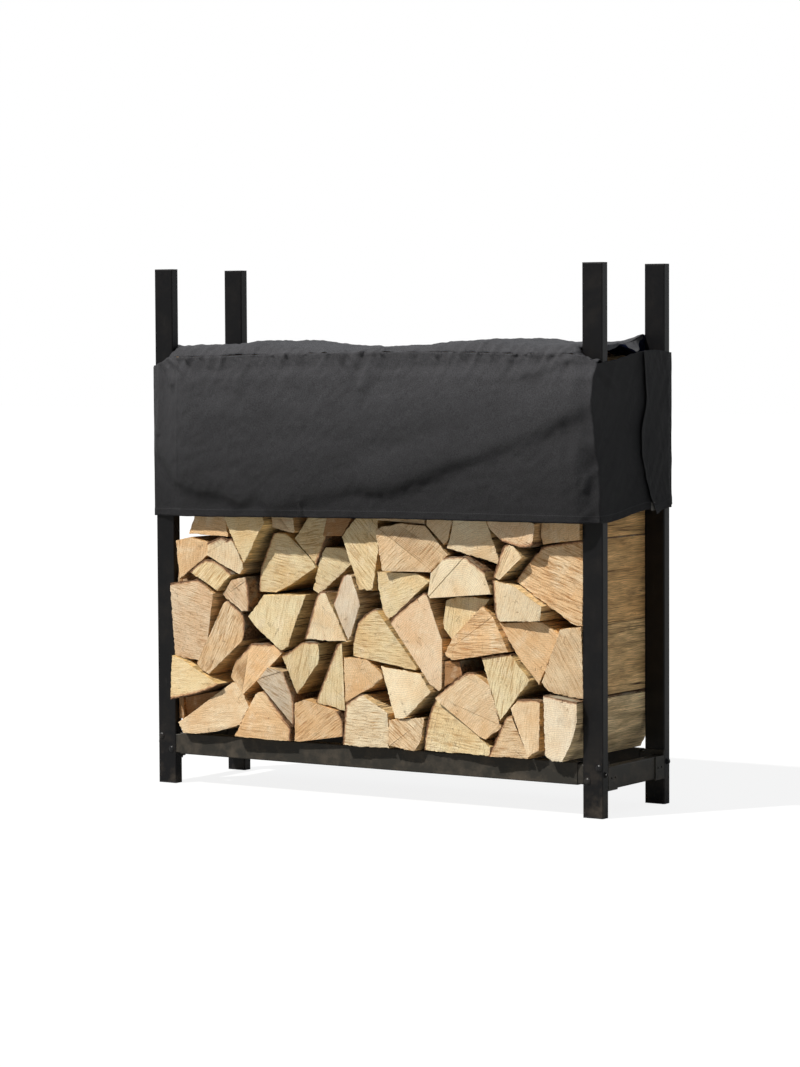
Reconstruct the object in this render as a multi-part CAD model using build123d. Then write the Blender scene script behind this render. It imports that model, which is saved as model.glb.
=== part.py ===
from build123d import *
import math
import os

# Rack over its posts
RACK_LENGTH = 1200.0
RACK_DEPTH = 300.0
POST_HEIGHT = 1200.0

# Rectangular steel tube of the posts, the long rails and the end rails
POST_WIDTH = 50.0
POST_DEPTH = 25.0
TUBE_WALL = 1.5
TUBE_CORNER = 3.0
RAIL_HEIGHT = 50.0
RAIL_DEPTH = 25.0
RAIL_BOTTOM = 70.0
RAIL_SETBACK = 14.0
END_RAIL_HEIGHT = 50.0
END_RAIL_WIDTH = 25.0
END_RAIL_BOTTOM = 60.0
END_RAIL_SETBACK = 12.0

# Sockets that carry the long rails
SOCKET_WALL = 2.0
SOCKET_REACH = 60.0
SOCKET_DROP = 4.0

# Saddle brackets that carry the end rails
SADDLE_WALL = 2.0
SADDLE_LENGTH = 40.0
SADDLE_PLATE = 3.0
SADDLE_PLATE_TOP = 122.0
SADDLE_HOLE = 5.0
SADDLE_HOLE_STEP = 16.0

# Plastic plugs in the ends of the posts
PLUG_PLATE = 3.0
PLUG_DEPTH = 14.0
PLUG_CHAMFER = 1.5

# Room between pieces that slide or rest on each other
CLEARANCE = 0.3

# Fabric cover: its hem rises a little to the right and to the back
COVER_THICKNESS = 3.0
HEM_HEIGHT = 643.0
HEM_RISE_RIGHT = 13.0
HEM_RISE_BACK = 18.0
HEM_SPARE = 40.0
POST_OPENING = 4.0

# Seam round the top sheet and the shoulder from there up to the sheet's crown
SEAM_HEIGHT = 1002.0
SHOULDER_WIDTH = 45.0
SHOULDER_RISE = 38.0

# Free top edges of the cover in front of, behind and between the posts: left end, right end
FRONT_EDGE_ENDS = (975.0, 983.0)
BACK_EDGE_ENDS = (995.0, 1003.0)
FREE_EDGE_RUN = 110.0
END_PEAK_RISE = 24.0
END_PEAK_Y = 25.0

# Flaps that come round the back corners, with a pointed foot
FLAP_WIDTH = 130.0
FLAP_WAIST = 8.0
FLAP_WAIST_DROP = 220.0
FLAP_SLANT_TOP = 300.0
FLAP_TIP = 52.0
FLAP_TIP_DROP = 352.0
FLAP_FOOT_RISE = 18.0
PATCH_WIDTH = 22.0
PATCH_HEIGHT = 18.0
PATCH_THICKNESS = 1.5
PATCH_EDGE = 4.0
PATCH_SHOW = 14.0

# Split logs
LOG_LENGTH = 360.0
LOG_PRESS = 5.0
SAW_SKEW = 2.2
SAW_SPARE = 20.0
BARK_STEPS = 5
HIDDEN_COURSES = 4
HIDDEN_BOTTOM = 648.0
HIDDEN_LEAN = 20.0
HIDDEN_PEAK = 14.0
TOP_COURSE_SET_BACK = 24.0

HALF_LENGTH = RACK_LENGTH / 2
HALF_DEPTH = RACK_DEPTH / 2
POST_X = HALF_LENGTH - POST_WIDTH / 2
POST_Y = HALF_DEPTH - POST_DEPTH / 2
BAY_HALF = HALF_LENGTH - POST_WIDTH
RAIL_TOP = RAIL_BOTTOM + RAIL_HEIGHT
RAIL_HALF = BAY_HALF - RAIL_SETBACK
END_RAIL_X = HALF_LENGTH - SADDLE_WALL - CLEARANCE - END_RAIL_WIDTH / 2
LOG_OVERHANG = LOG_LENGTH / 2 - HALF_DEPTH

# The bay and the stack for which the log outlines and the cover's top line are drawn
DRAWN_BAY_HALF = 550.0
DRAWN_RAIL_TOP = 120.0

# Plan of the cover's front and back panels, at distances from an end of the rack: how far the panel
# stands off the posts there, as a share of the logs' overhang and a spare width. It either hugs the post
# at that end or stands clear of it, and bulges over the log ends
HUGGING_END = [(0.0, 0.0, 0.3), (42.0, 0.0, 1.5), (98.0, 1.0, 4.0), (300.0, 1.0, 13.0)]
CLEAR_END = [(0.0, 0.8, 0.0), (80.0, 1.0, 11.0), (300.0, 1.0, 15.0)]

# Crown of the top sheet, left to right, over the highest logs
TOP_LINE = [(-550, 1013), (-399, 1018), (-311, 1026), (-174, 1014), (-24, 1006), (43, 1013), (124, 1016),
            (229, 1025), (307, 1029), (384, 1022), (550, 1019)]

# The split logs in the drawn bay, course by course: how far each sawn end stands back from the proudest
# ones, how far the bark bulges the side from the first corner to the second, and the corners of the end
COURSES = {
    "logs_course_1": [
        (6, 0, [(-527, 146), (-511, 122), (-420, 136), (-340, 158), (-326, 186), (-357, 242), (-380, 243)]),
        (0, 6, [(-298, 225), (-363, 128), (-212, 124), (-211, 155), (-245, 203), (-275, 228)]),
        (2, 4, [(-78, 198), (-166, 216), (-197, 206), (-204, 124), (-66, 146), (-66, 176)]),
        (0, 9, [(-8, 236), (-50, 205), (-62, 124), (60, 124), (60, 196)]),
        (4, 0, [(62, 134), (126, 122), (142, 150), (148, 196), (61, 187)]),
        (6, 8, [(188, 243), (150, 124), (320, 124), (322, 150)]),
        (0, 5, [(385, 205), (368, 204), (319, 123), (418, 125), (402, 182)]),
        (5, 3, [(449, 246), (390, 244), (374, 228), (420, 126), (449, 142)]),
        (0, 0, [(474, 134), (505, 116), (534, 170), (551, 235), (545, 251), (470, 262)]),
        (46, 0, [(-545, 150), (-420, 225), (-470, 215), (-548, 198)]),
    ],
    "logs_course_2": [
        (0, 5, [(-550, 201), (-404, 247), (-420, 256), (-500, 293), (-543, 302)]),
        (8, 0, [(-372, 252), (-345, 223), (-296, 264), (-240, 322), (-256, 336), (-322, 335), (-357, 298)]),
        (4, 6, [(-205, 158), (-212, 262), (-222, 277), (-270, 284), (-302, 250), (-216, 160)]),
        (3, 8, [(-134, 305), (-138, 350), (-165, 350), (-237, 310), (-193, 207), (-170, 218)]),
        (0, 8, [(-64, 344), (-76, 346), (-136, 303), (-169, 221), (-72, 199), (-60, 205)]),
        (8, 0, [(-60, 216), (-20, 238), (39, 281), (-4, 315), (-63, 318)]),
        (2, 0, [(34, 301), (73, 199), (86, 191), (114, 203), (173, 258), (149, 291)]),
        (3, 6, [(347, 186), (319, 272), (277, 299), (255, 298), (188, 247), (196, 228), (282, 170), (313, 162)]),
        (2, 0, [(301, 334), (347, 197), (358, 207), (432, 294), (404, 323), (382, 345), (310, 342)]),
        (21, 6, [(449, 300), (486, 267), (550, 262), (550, 410), (500, 404), (472, 358)]),
    ],
    "logs_course_3": [
        (3, 0, [(-541, 300), (-470, 297), (-450, 342), (-436, 400), (-425, 450), (-463, 480), (-538, 468)]),
        (6, 8, [(-350, 346), (-350, 411), (-382, 434), (-402, 424), (-473, 292), (-448, 262)]),
        (10, 0, [(-322, 402), (-300, 378), (-237, 332), (-222, 340), (-183, 452), (-286, 449)]),
        (0, 9, [(-104, 456), (-129, 454), (-213, 356), (-50, 357), (-88, 430)]),
        (4, 9, [(36, 431), (-34, 380), (-36, 326), (130, 304), (138, 312)]),
        (0, 12, [(166, 472), (70, 398), (152, 292), (194, 262), (206, 270), (196, 398)]),
        (3, 0, [(214, 342), (234, 327), (300, 338), (372, 351), (352, 410), (300, 449), (240, 392)]),
        (16, 0, [(385, 346), (440, 284), (452, 305), (477, 352), (492, 388), (443, 422), (342, 414)]),
        (14, 0, [(200, 268), (246, 298), (240, 324), (200, 322)]),
    ],
    "logs_course_4": [
        (0, 0, [(-488, 500), (-408, 463), (-370, 498), (-412, 524), (-445, 526)]),
        (4, 4, [(-328, 418), (-330, 489), (-366, 482), (-392, 451), (-350, 417)]),
        (0, 7, [(-35, 495), (-62, 500), (-88, 440), (-48, 366), (-33, 384), (-10, 450)]),
        (12, 4, [(29, 519), (48, 413), (70, 424), (160, 500), (110, 520)]),
        (18, 0, [(202, 402), (220, 381), (262, 408), (306, 462), (250, 468), (210, 456)]),
        (2, 0, [(343, 431), (360, 417), (450, 422), (455, 455), (402, 499), (338, 511)]),
    ],
    "logs_course_5": [
        (3, 0, [(-514, 486), (-440, 542), (-438, 564), (-490, 576), (-522, 568)]),
        (0, 0, [(-436, 540), (-353, 500), (-343, 512), (-344, 534), (-362, 574), (-400, 578), (-434, 564)]),
        (34, 5, [(-160, 520), (-246, 592), (-268, 592), (-306, 510), (-314, 462), (-270, 462), (-222, 484)]),
        (36, 0, [(-160, 470), (-148, 464), (-98, 503), (-68, 530), (-82, 560), (-134, 561)]),
        (10, 0, [(-23, 478), (9, 477), (30, 586), (30, 640), (-26, 640), (-68, 592)]),
        (2, 5, [(53, 522), (168, 522), (207, 562), (158, 620), (100, 626), (33, 612)]),
        (0, 88, [(333, 479), (166, 463)]),
        (2, 4, [(384, 587), (362, 577), (338, 512), (347, 510), (405, 562)]),
        (22, 8, [(466, 590), (386, 500), (514, 421), (550, 421), (550, 600)]),
    ],
    "logs_course_6": [
        (6, 0, [(-491, 591), (-378, 587), (-388, 655), (-470, 655)]),
        (0, 0, [(-391, 624), (-344, 529), (-338, 529), (-277, 620), (-290, 690), (-380, 690)]),
        (20, 0, [(-262, 612), (-206, 600), (-214, 680), (-276, 680)]),
        (28, 10, [(-120, 640), (-170, 640), (-218, 592), (-150, 526), (-124, 580)]),
        (14, 0, [(-116, 596), (-72, 598), (-40, 650), (-92, 690)]),
        (10, 0, [(36, 634), (150, 628), (160, 700), (40, 700)]),
        (12, 6, [(200, 586), (228, 640), (166, 690), (162, 624)]),
        (8, 0, [(206, 578), (342, 547), (336, 596), (312, 664), (230, 664)]),
        (0, 9, [(362, 598), (440, 594), (446, 660), (330, 690), (313, 635)]),
        (14, 0, [(454, 612), (459, 590), (527, 600), (550, 604), (550, 668), (461, 676)]),
    ],
}

# Widths of the split logs in the courses under the cover, used over and over from a new start
HIDDEN_WIDTHS = [96.0, 124.0, 84.0, 132.0, 104.0, 90.0, 118.0, 110.0, 88.0]


def rectangle_tube(width, depth, wall):
    """Section of a rectangular tube with rounded corners, centred on its axis."""
    outside = RectangleRounded(width, depth, TUBE_CORNER)
    inside = RectangleRounded(width - 2 * wall, depth - 2 * wall, TUBE_CORNER - wall)
    return outside - inside


def rod_along_x(y, z, size, left, right):
    """Round rod from x = left to x = right."""
    rod = Cylinder(size / 2, right - left, align=(Align.CENTER, Align.CENTER, Align.MIN))
    return Pos(left, y, z) * Rot(0, 90, 0) * rod


def post():
    """Front right post, between its two plugs."""
    length = POST_HEIGHT - 2 * PLUG_PLATE
    section = rectangle_tube(POST_WIDTH, POST_DEPTH, TUBE_WALL)
    return Pos(POST_X, -POST_Y, PLUG_PLATE) * extrude(section, length)


def plug(height, into):
    """Plastic plug in one end of the front right post; into is +1 where its spigot goes up."""
    plate = extrude(RectangleRounded(POST_WIDTH, POST_DEPTH, TUBE_CORNER), PLUG_PLATE)
    spigot_width = POST_WIDTH - 2 * (TUBE_WALL + CLEARANCE)
    spigot_depth = POST_DEPTH - 2 * (TUBE_WALL + CLEARANCE)
    spigot_section = Rectangle(spigot_width, spigot_depth)
    spigot = extrude(chamfer(spigot_section.vertices(), PLUG_CHAMFER), PLUG_DEPTH)
    if into > 0:
        body = plate + Pos(0, 0, PLUG_PLATE) * spigot
    else:
        body = plate + Pos(0, 0, -PLUG_DEPTH) * spigot
    return Pos(POST_X, -POST_Y, height) * body


def long_rail():
    """Front rail, which stops short of the posts at both ends."""
    section = Plane.YZ * rectangle_tube(RAIL_DEPTH, RAIL_HEIGHT, TUBE_WALL)
    centre_y = -HALF_DEPTH + RAIL_DEPTH / 2
    return Pos(-RAIL_HALF, centre_y, RAIL_BOTTOM + RAIL_HEIGHT / 2) * extrude(section, 2 * RAIL_HALF)


def rail_socket():
    """Stub on the front right post that the long rail slides over, closed at the post."""
    depth = RAIL_DEPTH - 2 * (TUBE_WALL + CLEARANCE)
    bottom = RAIL_BOTTOM + TUBE_WALL + CLEARANCE
    height = RAIL_TOP - SOCKET_DROP - bottom
    section = Plane.YZ * rectangle_tube(depth, height, SOCKET_WALL)
    tube = extrude(section, SOCKET_REACH)
    lid = Pos(SOCKET_REACH - SOCKET_WALL, 0, 0) * extrude(
        Plane.YZ * Rectangle(depth - 2 * SOCKET_WALL, height - 2 * SOCKET_WALL), SOCKET_WALL)
    centre_y = -HALF_DEPTH + RAIL_DEPTH / 2
    return Pos(BAY_HALF - SOCKET_REACH, centre_y, bottom + height / 2) * (tube + lid)


def end_rail():
    """Right end rail, between the plates of its two saddles."""
    length = RACK_DEPTH - 2 * (POST_DEPTH + SADDLE_PLATE + END_RAIL_SETBACK)
    section = Plane.XZ * rectangle_tube(END_RAIL_WIDTH, END_RAIL_HEIGHT, TUBE_WALL)
    centre_z = END_RAIL_BOTTOM + END_RAIL_HEIGHT / 2
    return Pos(END_RAIL_X, length / 2, centre_z) * extrude(section, length)


def saddle():
    """Saddle on the front right post: an open-topped channel for the end rail, on a plate on the post."""
    face = -HALF_DEPTH + POST_DEPTH
    bottom = END_RAIL_BOTTOM - SADDLE_WALL
    plate = Pos(POST_X, face + SADDLE_PLATE / 2, bottom) * extrude(
        Rectangle(POST_WIDTH, SADDLE_PLATE), SADDLE_PLATE_TOP - bottom)
    inner_width = END_RAIL_WIDTH + 2 * CLEARANCE
    outer_width = inner_width + 2 * SADDLE_WALL
    reach = SADDLE_LENGTH - SADDLE_PLATE
    channel_y = face + SADDLE_PLATE + reach / 2
    channel = Pos(END_RAIL_X, channel_y, bottom) * extrude(
        Rectangle(outer_width, reach), END_RAIL_HEIGHT + SADDLE_WALL)
    channel -= Pos(END_RAIL_X, channel_y, END_RAIL_BOTTOM) * extrude(
        Rectangle(inner_width, reach), END_RAIL_HEIGHT)
    bracket = plate + channel
    hole_z = END_RAIL_BOTTOM + END_RAIL_HEIGHT / 2
    for step in (-0.5, 0.5):
        hole_y = channel_y + step * SADDLE_HOLE_STEP
        bracket -= rod_along_x(hole_y, hole_z, SADDLE_HOLE, END_RAIL_X - outer_width, HALF_LENGTH + 1)
    return bracket


def bow_line(panel, inner):
    """Plan of the front (-1) or back (1) panel as (x, y), left to right: its outer face, or its inner one."""
    shift = 0.0 if inner else COVER_THICKNESS
    line = []
    for distance, share, spare in HUGGING_END:
        line.append((distance - cover_half(), share * LOG_OVERHANG + spare + shift))
    for distance, share, spare in reversed(CLEAR_END if panel < 0 else HUGGING_END):
        line.append((cover_half() - distance, share * LOG_OVERHANG + spare + shift))
    return [(x, panel * (HALF_DEPTH + stand_off)) for x, stand_off in line]


def cover_half():
    """Half length over the cover's end panels."""
    return HALF_LENGTH + CLEARANCE + COVER_THICKNESS


def stand_off_at(panel, x):
    """Stand-off of a panel's inner face from the posts at x."""
    line = bow_line(panel, inner=True)
    for (left, left_y), (right, right_y) in zip(line, line[1:]):
        if left <= x <= right:
            share = (x - left) / (right - left)
            return abs(left_y + share * (right_y - left_y)) - HALF_DEPTH
    return CLEARANCE


def corner_y(side, panel, inner):
    """Where the front (-1) or back (1) panel ends at the left (-1) or right (1) end of the cover."""
    return bow_line(panel, inner)[-1 if side > 0 else 0][1]


def stretch(x, z):
    """A point of the drawn bay, carried to the bay as it is built."""
    return x * BAY_HALF / DRAWN_BAY_HALF, z - DRAWN_RAIL_TOP + RAIL_TOP


def top_line():
    """Crown of the top sheet as (x, z), run out level to its two ends."""
    line = [stretch(x, z) for x, z in TOP_LINE]
    return [(-cover_half(), line[0][1])] + line + [(cover_half(), line[-1][1])]


def prism_along_y(points, front, back):
    """Solid between y = front and y = back with the outline given as (x, z)."""
    face = Plane.XZ * make_face(Polyline(*points, close=True))
    return Pos(0, back, 0) * extrude(face, back - front)


def prism_along_x(points, left, right):
    """Solid between x = left and x = right with the outline given as (y, z)."""
    face = Plane.YZ * make_face(Polyline(*points, close=True))
    return Pos(left, 0, 0) * extrude(face, right - left)


def prism_up(points, bottom, top):
    return Pos(0, 0, bottom) * extrude(make_face(Polyline(*points, close=True)), top - bottom)


def under_crown(thickness):
    """Everything below the top sheet's crown less a thickness."""
    bottom = HEM_HEIGHT - HEM_SPARE
    line = [(x, z - thickness) for x, z in top_line()]
    reach = HALF_DEPTH + LOG_LENGTH
    return prism_along_y(line + [(cover_half(), bottom), (-cover_half(), bottom)], -reach, reach)


def under_shoulders(thickness):
    """Everything below the top sheet's sloping shoulders less a thickness."""
    bottom = HEM_HEIGHT - HEM_SPARE
    outer = max(abs(y) for x, y in bow_line(-1, inner=False))
    inner = outer - SHOULDER_WIDTH
    seam = SEAM_HEIGHT - thickness
    crown = seam + SHOULDER_RISE
    outline = [(-outer, bottom), (-outer, seam), (-inner, crown), (inner, crown), (outer, seam), (outer, bottom)]
    return prism_along_x(outline, -cover_half(), cover_half())


def under_top(thickness):
    return under_crown(thickness) & under_shoulders(thickness)


def above_hem(cloth):
    """Part of the cover above its slanting hem."""
    slope_right = HEM_RISE_RIGHT / (2 * HALF_LENGTH)
    slope_back = HEM_RISE_BACK / (2 * HALF_DEPTH)
    hem = Plane(origin=(0, 0, HEM_HEIGHT), z_dir=(-slope_right, -slope_back, 1))
    return split(cloth, bisect_by=hem, keep=Keep.TOP)


def hem_at(x, y):
    """Height of the hem at a place."""
    return HEM_HEIGHT + HEM_RISE_RIGHT * x / (2 * HALF_LENGTH) + HEM_RISE_BACK * y / (2 * HALF_DEPTH)


def cover_top():
    """Top sheet over the logs, open at its corners where the posts come through."""
    outline = bow_line(-1, inner=False) + list(reversed(bow_line(1, inner=False)))
    highest = max(z for x, z in top_line())
    sheet = prism_up(outline, HEM_HEIGHT, highest + 1) & (under_top(0.0) - under_top(COVER_THICKNESS))
    notch = Box(2 * POST_WIDTH, POST_HEIGHT, POST_HEIGHT, align=(Align.MIN, Align.MAX, Align.MIN))
    corner = Pos(BAY_HALF - POST_OPENING, -HALF_DEPTH + POST_DEPTH + POST_OPENING, 0) * notch
    for side in quarters(corner).values():
        sheet -= side
    return sheet


def cover_panel(panel):
    """Front (-1) or back (1) panel, bulged over the log ends, from the top sheet down to the hem."""
    band = bow_line(panel, inner=True) + list(reversed(bow_line(panel, inner=False)))
    highest = max(z for x, z in top_line())
    left, right = FRONT_EDGE_ENDS if panel < 0 else BACK_EDGE_ENDS
    bottom = HEM_HEIGHT - HEM_SPARE
    half = cover_half()
    free_edges = [(-half, bottom), (-half, left), (FREE_EDGE_RUN - half, left + FREE_EDGE_RUN / 2),
                  (half - FREE_EDGE_RUN, right + FREE_EDGE_RUN / 2), (half, right), (half, bottom)]
    reach = HALF_DEPTH + LOG_LENGTH
    cloth = prism_up(band, bottom, highest) & under_top(COVER_THICKNESS)
    return above_hem(cloth & prism_along_y(free_edges, -reach, reach))


def end_edges(side):
    """Top edge heights of an end panel: at its front corner, at its peak and at its back corner."""
    end = 0 if side < 0 else 1
    return FRONT_EDGE_ENDS[end], FRONT_EDGE_ENDS[end] + END_PEAK_RISE, BACK_EDGE_ENDS[end]


def cover_end(side):
    """End panel on side -1 (left) or 1 (right), open at the top between the posts."""
    front = corner_y(side, -1, inner=True)
    back = corner_y(side, 1, inner=True)
    front_top, peak, back_top = end_edges(side)
    bottom = HEM_HEIGHT - HEM_SPARE
    outline = [(front, bottom), (front, front_top), (END_PEAK_Y, peak), (back, back_top), (back, bottom)]
    near, far = sorted((side * (cover_half() - COVER_THICKNESS), side * cover_half()))
    return above_hem(prism_along_x(outline, near, far))


def cover_flap(side):
    """Flap of the back panel that comes round a back corner over the end panel, with a pointed foot."""
    back = corner_y(side, 1, inner=False)
    front = HALF_DEPTH - FLAP_WIDTH
    back_top = end_edges(side)[2]
    foot = back_top - FLAP_TIP_DROP
    outline = [(back, back_top), (front, back_top), (front - FLAP_WAIST, back_top - FLAP_WAIST_DROP),
               (front, back_top - FLAP_SLANT_TOP), (front + FLAP_TIP, foot), (back, foot + FLAP_FOOT_RISE)]
    inner = cover_half() + PATCH_THICKNESS
    near, far = sorted((side * inner, side * (inner + COVER_THICKNESS)))
    return prism_along_x(outline, near, far)


def cover_patch(side):
    """Patch between the end panel and the tip of the flap, showing a little past the tip."""
    patch = Box(PATCH_THICKNESS, PATCH_WIDTH, PATCH_HEIGHT)
    middle = side * (cover_half() + PATCH_THICKNESS / 2)
    centre_y = HALF_DEPTH - FLAP_WIDTH + FLAP_TIP - PATCH_SHOW + PATCH_WIDTH / 2
    bottom = hem_at(middle, centre_y) + PATCH_EDGE
    return Pos(middle, centre_y, bottom + PATCH_HEIGHT / 2) * patch


def quarters(front_right):
    """The same piece at the four corners of the rack."""
    front_left = mirror(front_right, about=Plane.YZ)
    return {
        "front_left": front_left,
        "front_right": front_right,
        "back_left": mirror(front_left, about=Plane.XZ),
        "back_right": mirror(front_right, about=Plane.XZ),
    }


def cross(a, b):
    return a[0] * b[1] - a[1] * b[0]


def counter_clockwise(outline):
    area = sum(cross(a, b) for a, b in zip(outline, outline[1:] + outline[:1]))
    return outline if area > 0 else list(reversed(outline))


def bark_side(outline, bulge):
    """Outline with its first side bulged into an arc of a few flats."""
    start, end = outline[0], outline[1]
    chord = math.dist(start, end)
    outward = ((end[1] - start[1]) / chord, (start[0] - end[0]) / chord)
    arc = []
    for step in range(1, BARK_STEPS):
        angle = math.pi * step / BARK_STEPS
        share = (1 - math.cos(angle)) / 2
        rise = bulge * math.sin(angle)
        arc.append((start[0] + share * (end[0] - start[0]) + rise * outward[0],
                    start[1] + share * (end[1] - start[1]) + rise * outward[1]))
    return [start] + arc + outline[1:]


def cut_by(outline, normal, limit):
    """Part of a convex outline where its reach along normal stays under limit."""
    kept = []
    for a, b in zip(outline, outline[1:] + outline[:1]):
        reach_a = a[0] * normal[0] + a[1] * normal[1] - limit
        reach_b = b[0] * normal[0] + b[1] * normal[1] - limit
        if reach_a <= 0:
            kept.append(a)
        if (reach_a < 0 < reach_b) or (reach_b < 0 < reach_a):
            share = reach_a / (reach_a - reach_b)
            kept.append((a[0] + share * (b[0] - a[0]), a[1] + share * (b[1] - a[1])))
    return kept


def sides(outline):
    """Outward normal and reach of each side of a convex outline."""
    for a, b in zip(outline, outline[1:] + outline[:1]):
        length = math.dist(a, b)
        if length > 0.01:
            normal = ((b[1] - a[1]) / length, (a[0] - b[0]) / length)
            yield normal, a[0] * normal[0] + a[1] * normal[1]


def press_out(outline):
    """Outline with every side moved out, so that it presses on its neighbours."""
    spread = 1000.0
    grown = [(-spread, -spread), (spread, -spread), (spread, 2 * spread), (-spread, 2 * spread)]
    for normal, reach in sides(outline):
        grown = cut_by(grown, normal, reach + LOG_PRESS)
    return grown


def part_neighbours(outlines):
    """Trim each pair of outlines that press on each other to a straight, narrow gap."""
    for first in range(len(outlines)):
        for second in range(first + 1, len(outlines)):
            a = outlines[first]
            b = outlines[second]
            tries = [(normal, True) for normal, reach in sides(a)]
            tries += [((-normal[0], -normal[1]), False) for normal, reach in sides(b)]
            best = None
            for normal, own in tries:
                reach = max(x * normal[0] + z * normal[1] for x, z in a)
                start = min(x * normal[0] + z * normal[1] for x, z in b)
                if best is None or reach - start < best[0]:
                    best = (reach - start, normal, (reach + start) / 2)
            depth, normal, middle = best
            if depth > -CLEARANCE:
                outlines[first] = cut_by(a, normal, middle - CLEARANCE / 2)
                opposite = (-normal[0], -normal[1])
                outlines[second] = cut_by(b, opposite, -middle - CLEARANCE / 2)
    return outlines


def hidden_course(course, bottom, top):
    """Corners of a course of split logs under the cover, wedges with their thin ends up and down."""
    first = (3 * course) % len(HIDDEN_WIDTHS)
    widths = HIDDEN_WIDTHS[first:] + HIDDEN_WIDTHS[:first]
    scale = 2 * BAY_HALF / sum(widths)
    left = -BAY_HALF
    outlines = []
    lean = HIDDEN_LEAN
    for number, width in enumerate(widths):
        right = left + width * scale
        next_lean = 0.0 if number == len(widths) - 1 else -lean
        own_lean = 0.0 if number == 0 else lean
        peak = top + (HIDDEN_PEAK if number % 2 else 0.0)
        outlines.append([(left - own_lean, bottom), (right - next_lean, bottom), (right + next_lean, top),
                         ((left + right) / 2, peak), (left + own_lean, top)])
        left = right
        lean = -lean
    return outlines


def set_back_under_cover(panel, outline):
    """How far a log stands back so that its sawn end stays inside the front (-1) or back (1) panel."""
    nearest = min(stand_off_at(panel, x + step) for x, z in outline for step in (-LOG_PRESS, LOG_PRESS))
    return max(0.0, LOG_OVERHANG + CLEARANCE - nearest)


def log_outlines():
    """Course, set-backs at the front and back, and trimmed outline of every log."""
    courses = []
    set_backs = []
    outlines = []
    for name, logs in COURSES.items():
        for set_back, bulge, corners in logs:
            outline = [stretch(x, z) for x, z in corners]
            if bulge:
                outline = bark_side(outline, bulge)
            covered = max(z for x, z in outline) > HEM_HEIGHT
            back = max(set_back, set_back_under_cover(1, outline)) if covered else set_back
            courses.append(name)
            set_backs.append((float(set_back), float(back)))
            outlines.append(press_out(counter_clockwise(outline)))
    highest = max(z for x, z in top_line())
    bottom = stretch(0, HIDDEN_BOTTOM)[1]
    height = (highest - bottom) / HIDDEN_COURSES
    for course in range(HIDDEN_COURSES):
        for corners in hidden_course(course, bottom + course * height, bottom + (course + 1) * height):
            least = TOP_COURSE_SET_BACK if course == HIDDEN_COURSES - 1 else 0.0
            ends = [max(least, set_back_under_cover(panel, corners)) for panel in (-1, 1)]
            courses.append(f"logs_course_{len(COURSES) + 1 + course}")
            set_backs.append(tuple(ends))
            outlines.append(press_out(counter_clockwise(corners)))
    inside = BAY_HALF - CLEARANCE
    for number, outline in enumerate(outlines):
        outline = cut_by(outline, (1, 0), inside)
        outline = cut_by(outline, (-1, 0), inside)
        outline = cut_by(outline, (0, -1), -RAIL_TOP - CLEARANCE)
        line = top_line()
        for (left, left_z), (right, right_z) in zip(line, line[1:]):
            if right > min(x for x, z in outline) and left < max(x for x, z in outline):
                length = math.dist((left, left_z), (right, right_z))
                normal = ((left_z - right_z) / length, (right - left) / length)
                reach = left * normal[0] + left_z * normal[1]
                outline = cut_by(outline, normal, reach - COVER_THICKNESS - CLEARANCE)
        outlines[number] = outline
    return list(zip(courses, set_backs, part_neighbours(outlines)))


def split_log(number, set_backs, outline):
    """One split log with both sawn ends a little out of square."""
    half = LOG_LENGTH / 2
    centre_x = sum(x for x, z in outline) / len(outline)
    centre_z = sum(z for x, z in outline) / len(outline)
    log = prism_along_y(outline, -half - SAW_SPARE, half + SAW_SPARE)
    for end, set_back in zip((-1, 1), set_backs):
        turn = math.radians(SAW_SKEW) * math.sin(2.4 * number + end)
        tip = math.radians(SAW_SKEW) * math.cos(1.7 * number - end)
        reach_x = max(abs(x - centre_x) for x, z in outline)
        reach_z = max(abs(z - centre_z) for x, z in outline)
        dip = abs(math.tan(turn)) * reach_x + abs(math.tan(tip)) * reach_z
        saw = Plane(origin=(centre_x, end * (half - set_back - dip), centre_z),
                    z_dir=(math.tan(turn), end, math.tan(tip)))
        log = split(log, bisect_by=saw, keep=Keep.BOTTOM)
    return log


def write(name, shape):
    export_step(shape, f"parts/{name}.step")


os.makedirs("parts", exist_ok=True)

for corner, shape in quarters(post()).items():
    write(f"post_{corner}", shape)
for corner, shape in quarters(rail_socket()).items():
    write(f"rail_socket_{corner}", shape)
for corner, shape in quarters(saddle()).items():
    write(f"saddle_{corner}", shape)
write("post_top_plugs", Compound(list(quarters(plug(POST_HEIGHT - PLUG_PLATE, -1)).values())))
write("post_foot_plugs", Compound(list(quarters(plug(0.0, 1)).values())))

write("rail_front", long_rail())
write("rail_back", mirror(long_rail(), about=Plane.XZ))
write("end_rail_right", end_rail())
write("end_rail_left", mirror(end_rail(), about=Plane.YZ))

write("cover_top", cover_top())
write("cover_front", cover_panel(-1))
write("cover_back", cover_panel(1))
for name, side in (("left", -1), ("right", 1)):
    write(f"cover_end_{name}", cover_end(side))
    write(f"cover_flap_{name}", cover_flap(side))
write("cover_patches", Compound([cover_patch(-1), cover_patch(1)]))

course_solids = {}
for number, (course, set_backs, outline) in enumerate(log_outlines()):
    course_solids.setdefault(course, []).append(split_log(number, set_backs, outline))
for course, solids in course_solids.items():
    write(course, Compound(solids))
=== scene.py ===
import math
from functools import partial
from random import Random

import bmesh
import bpy
from mathutils import Matrix, Vector, noise


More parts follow.
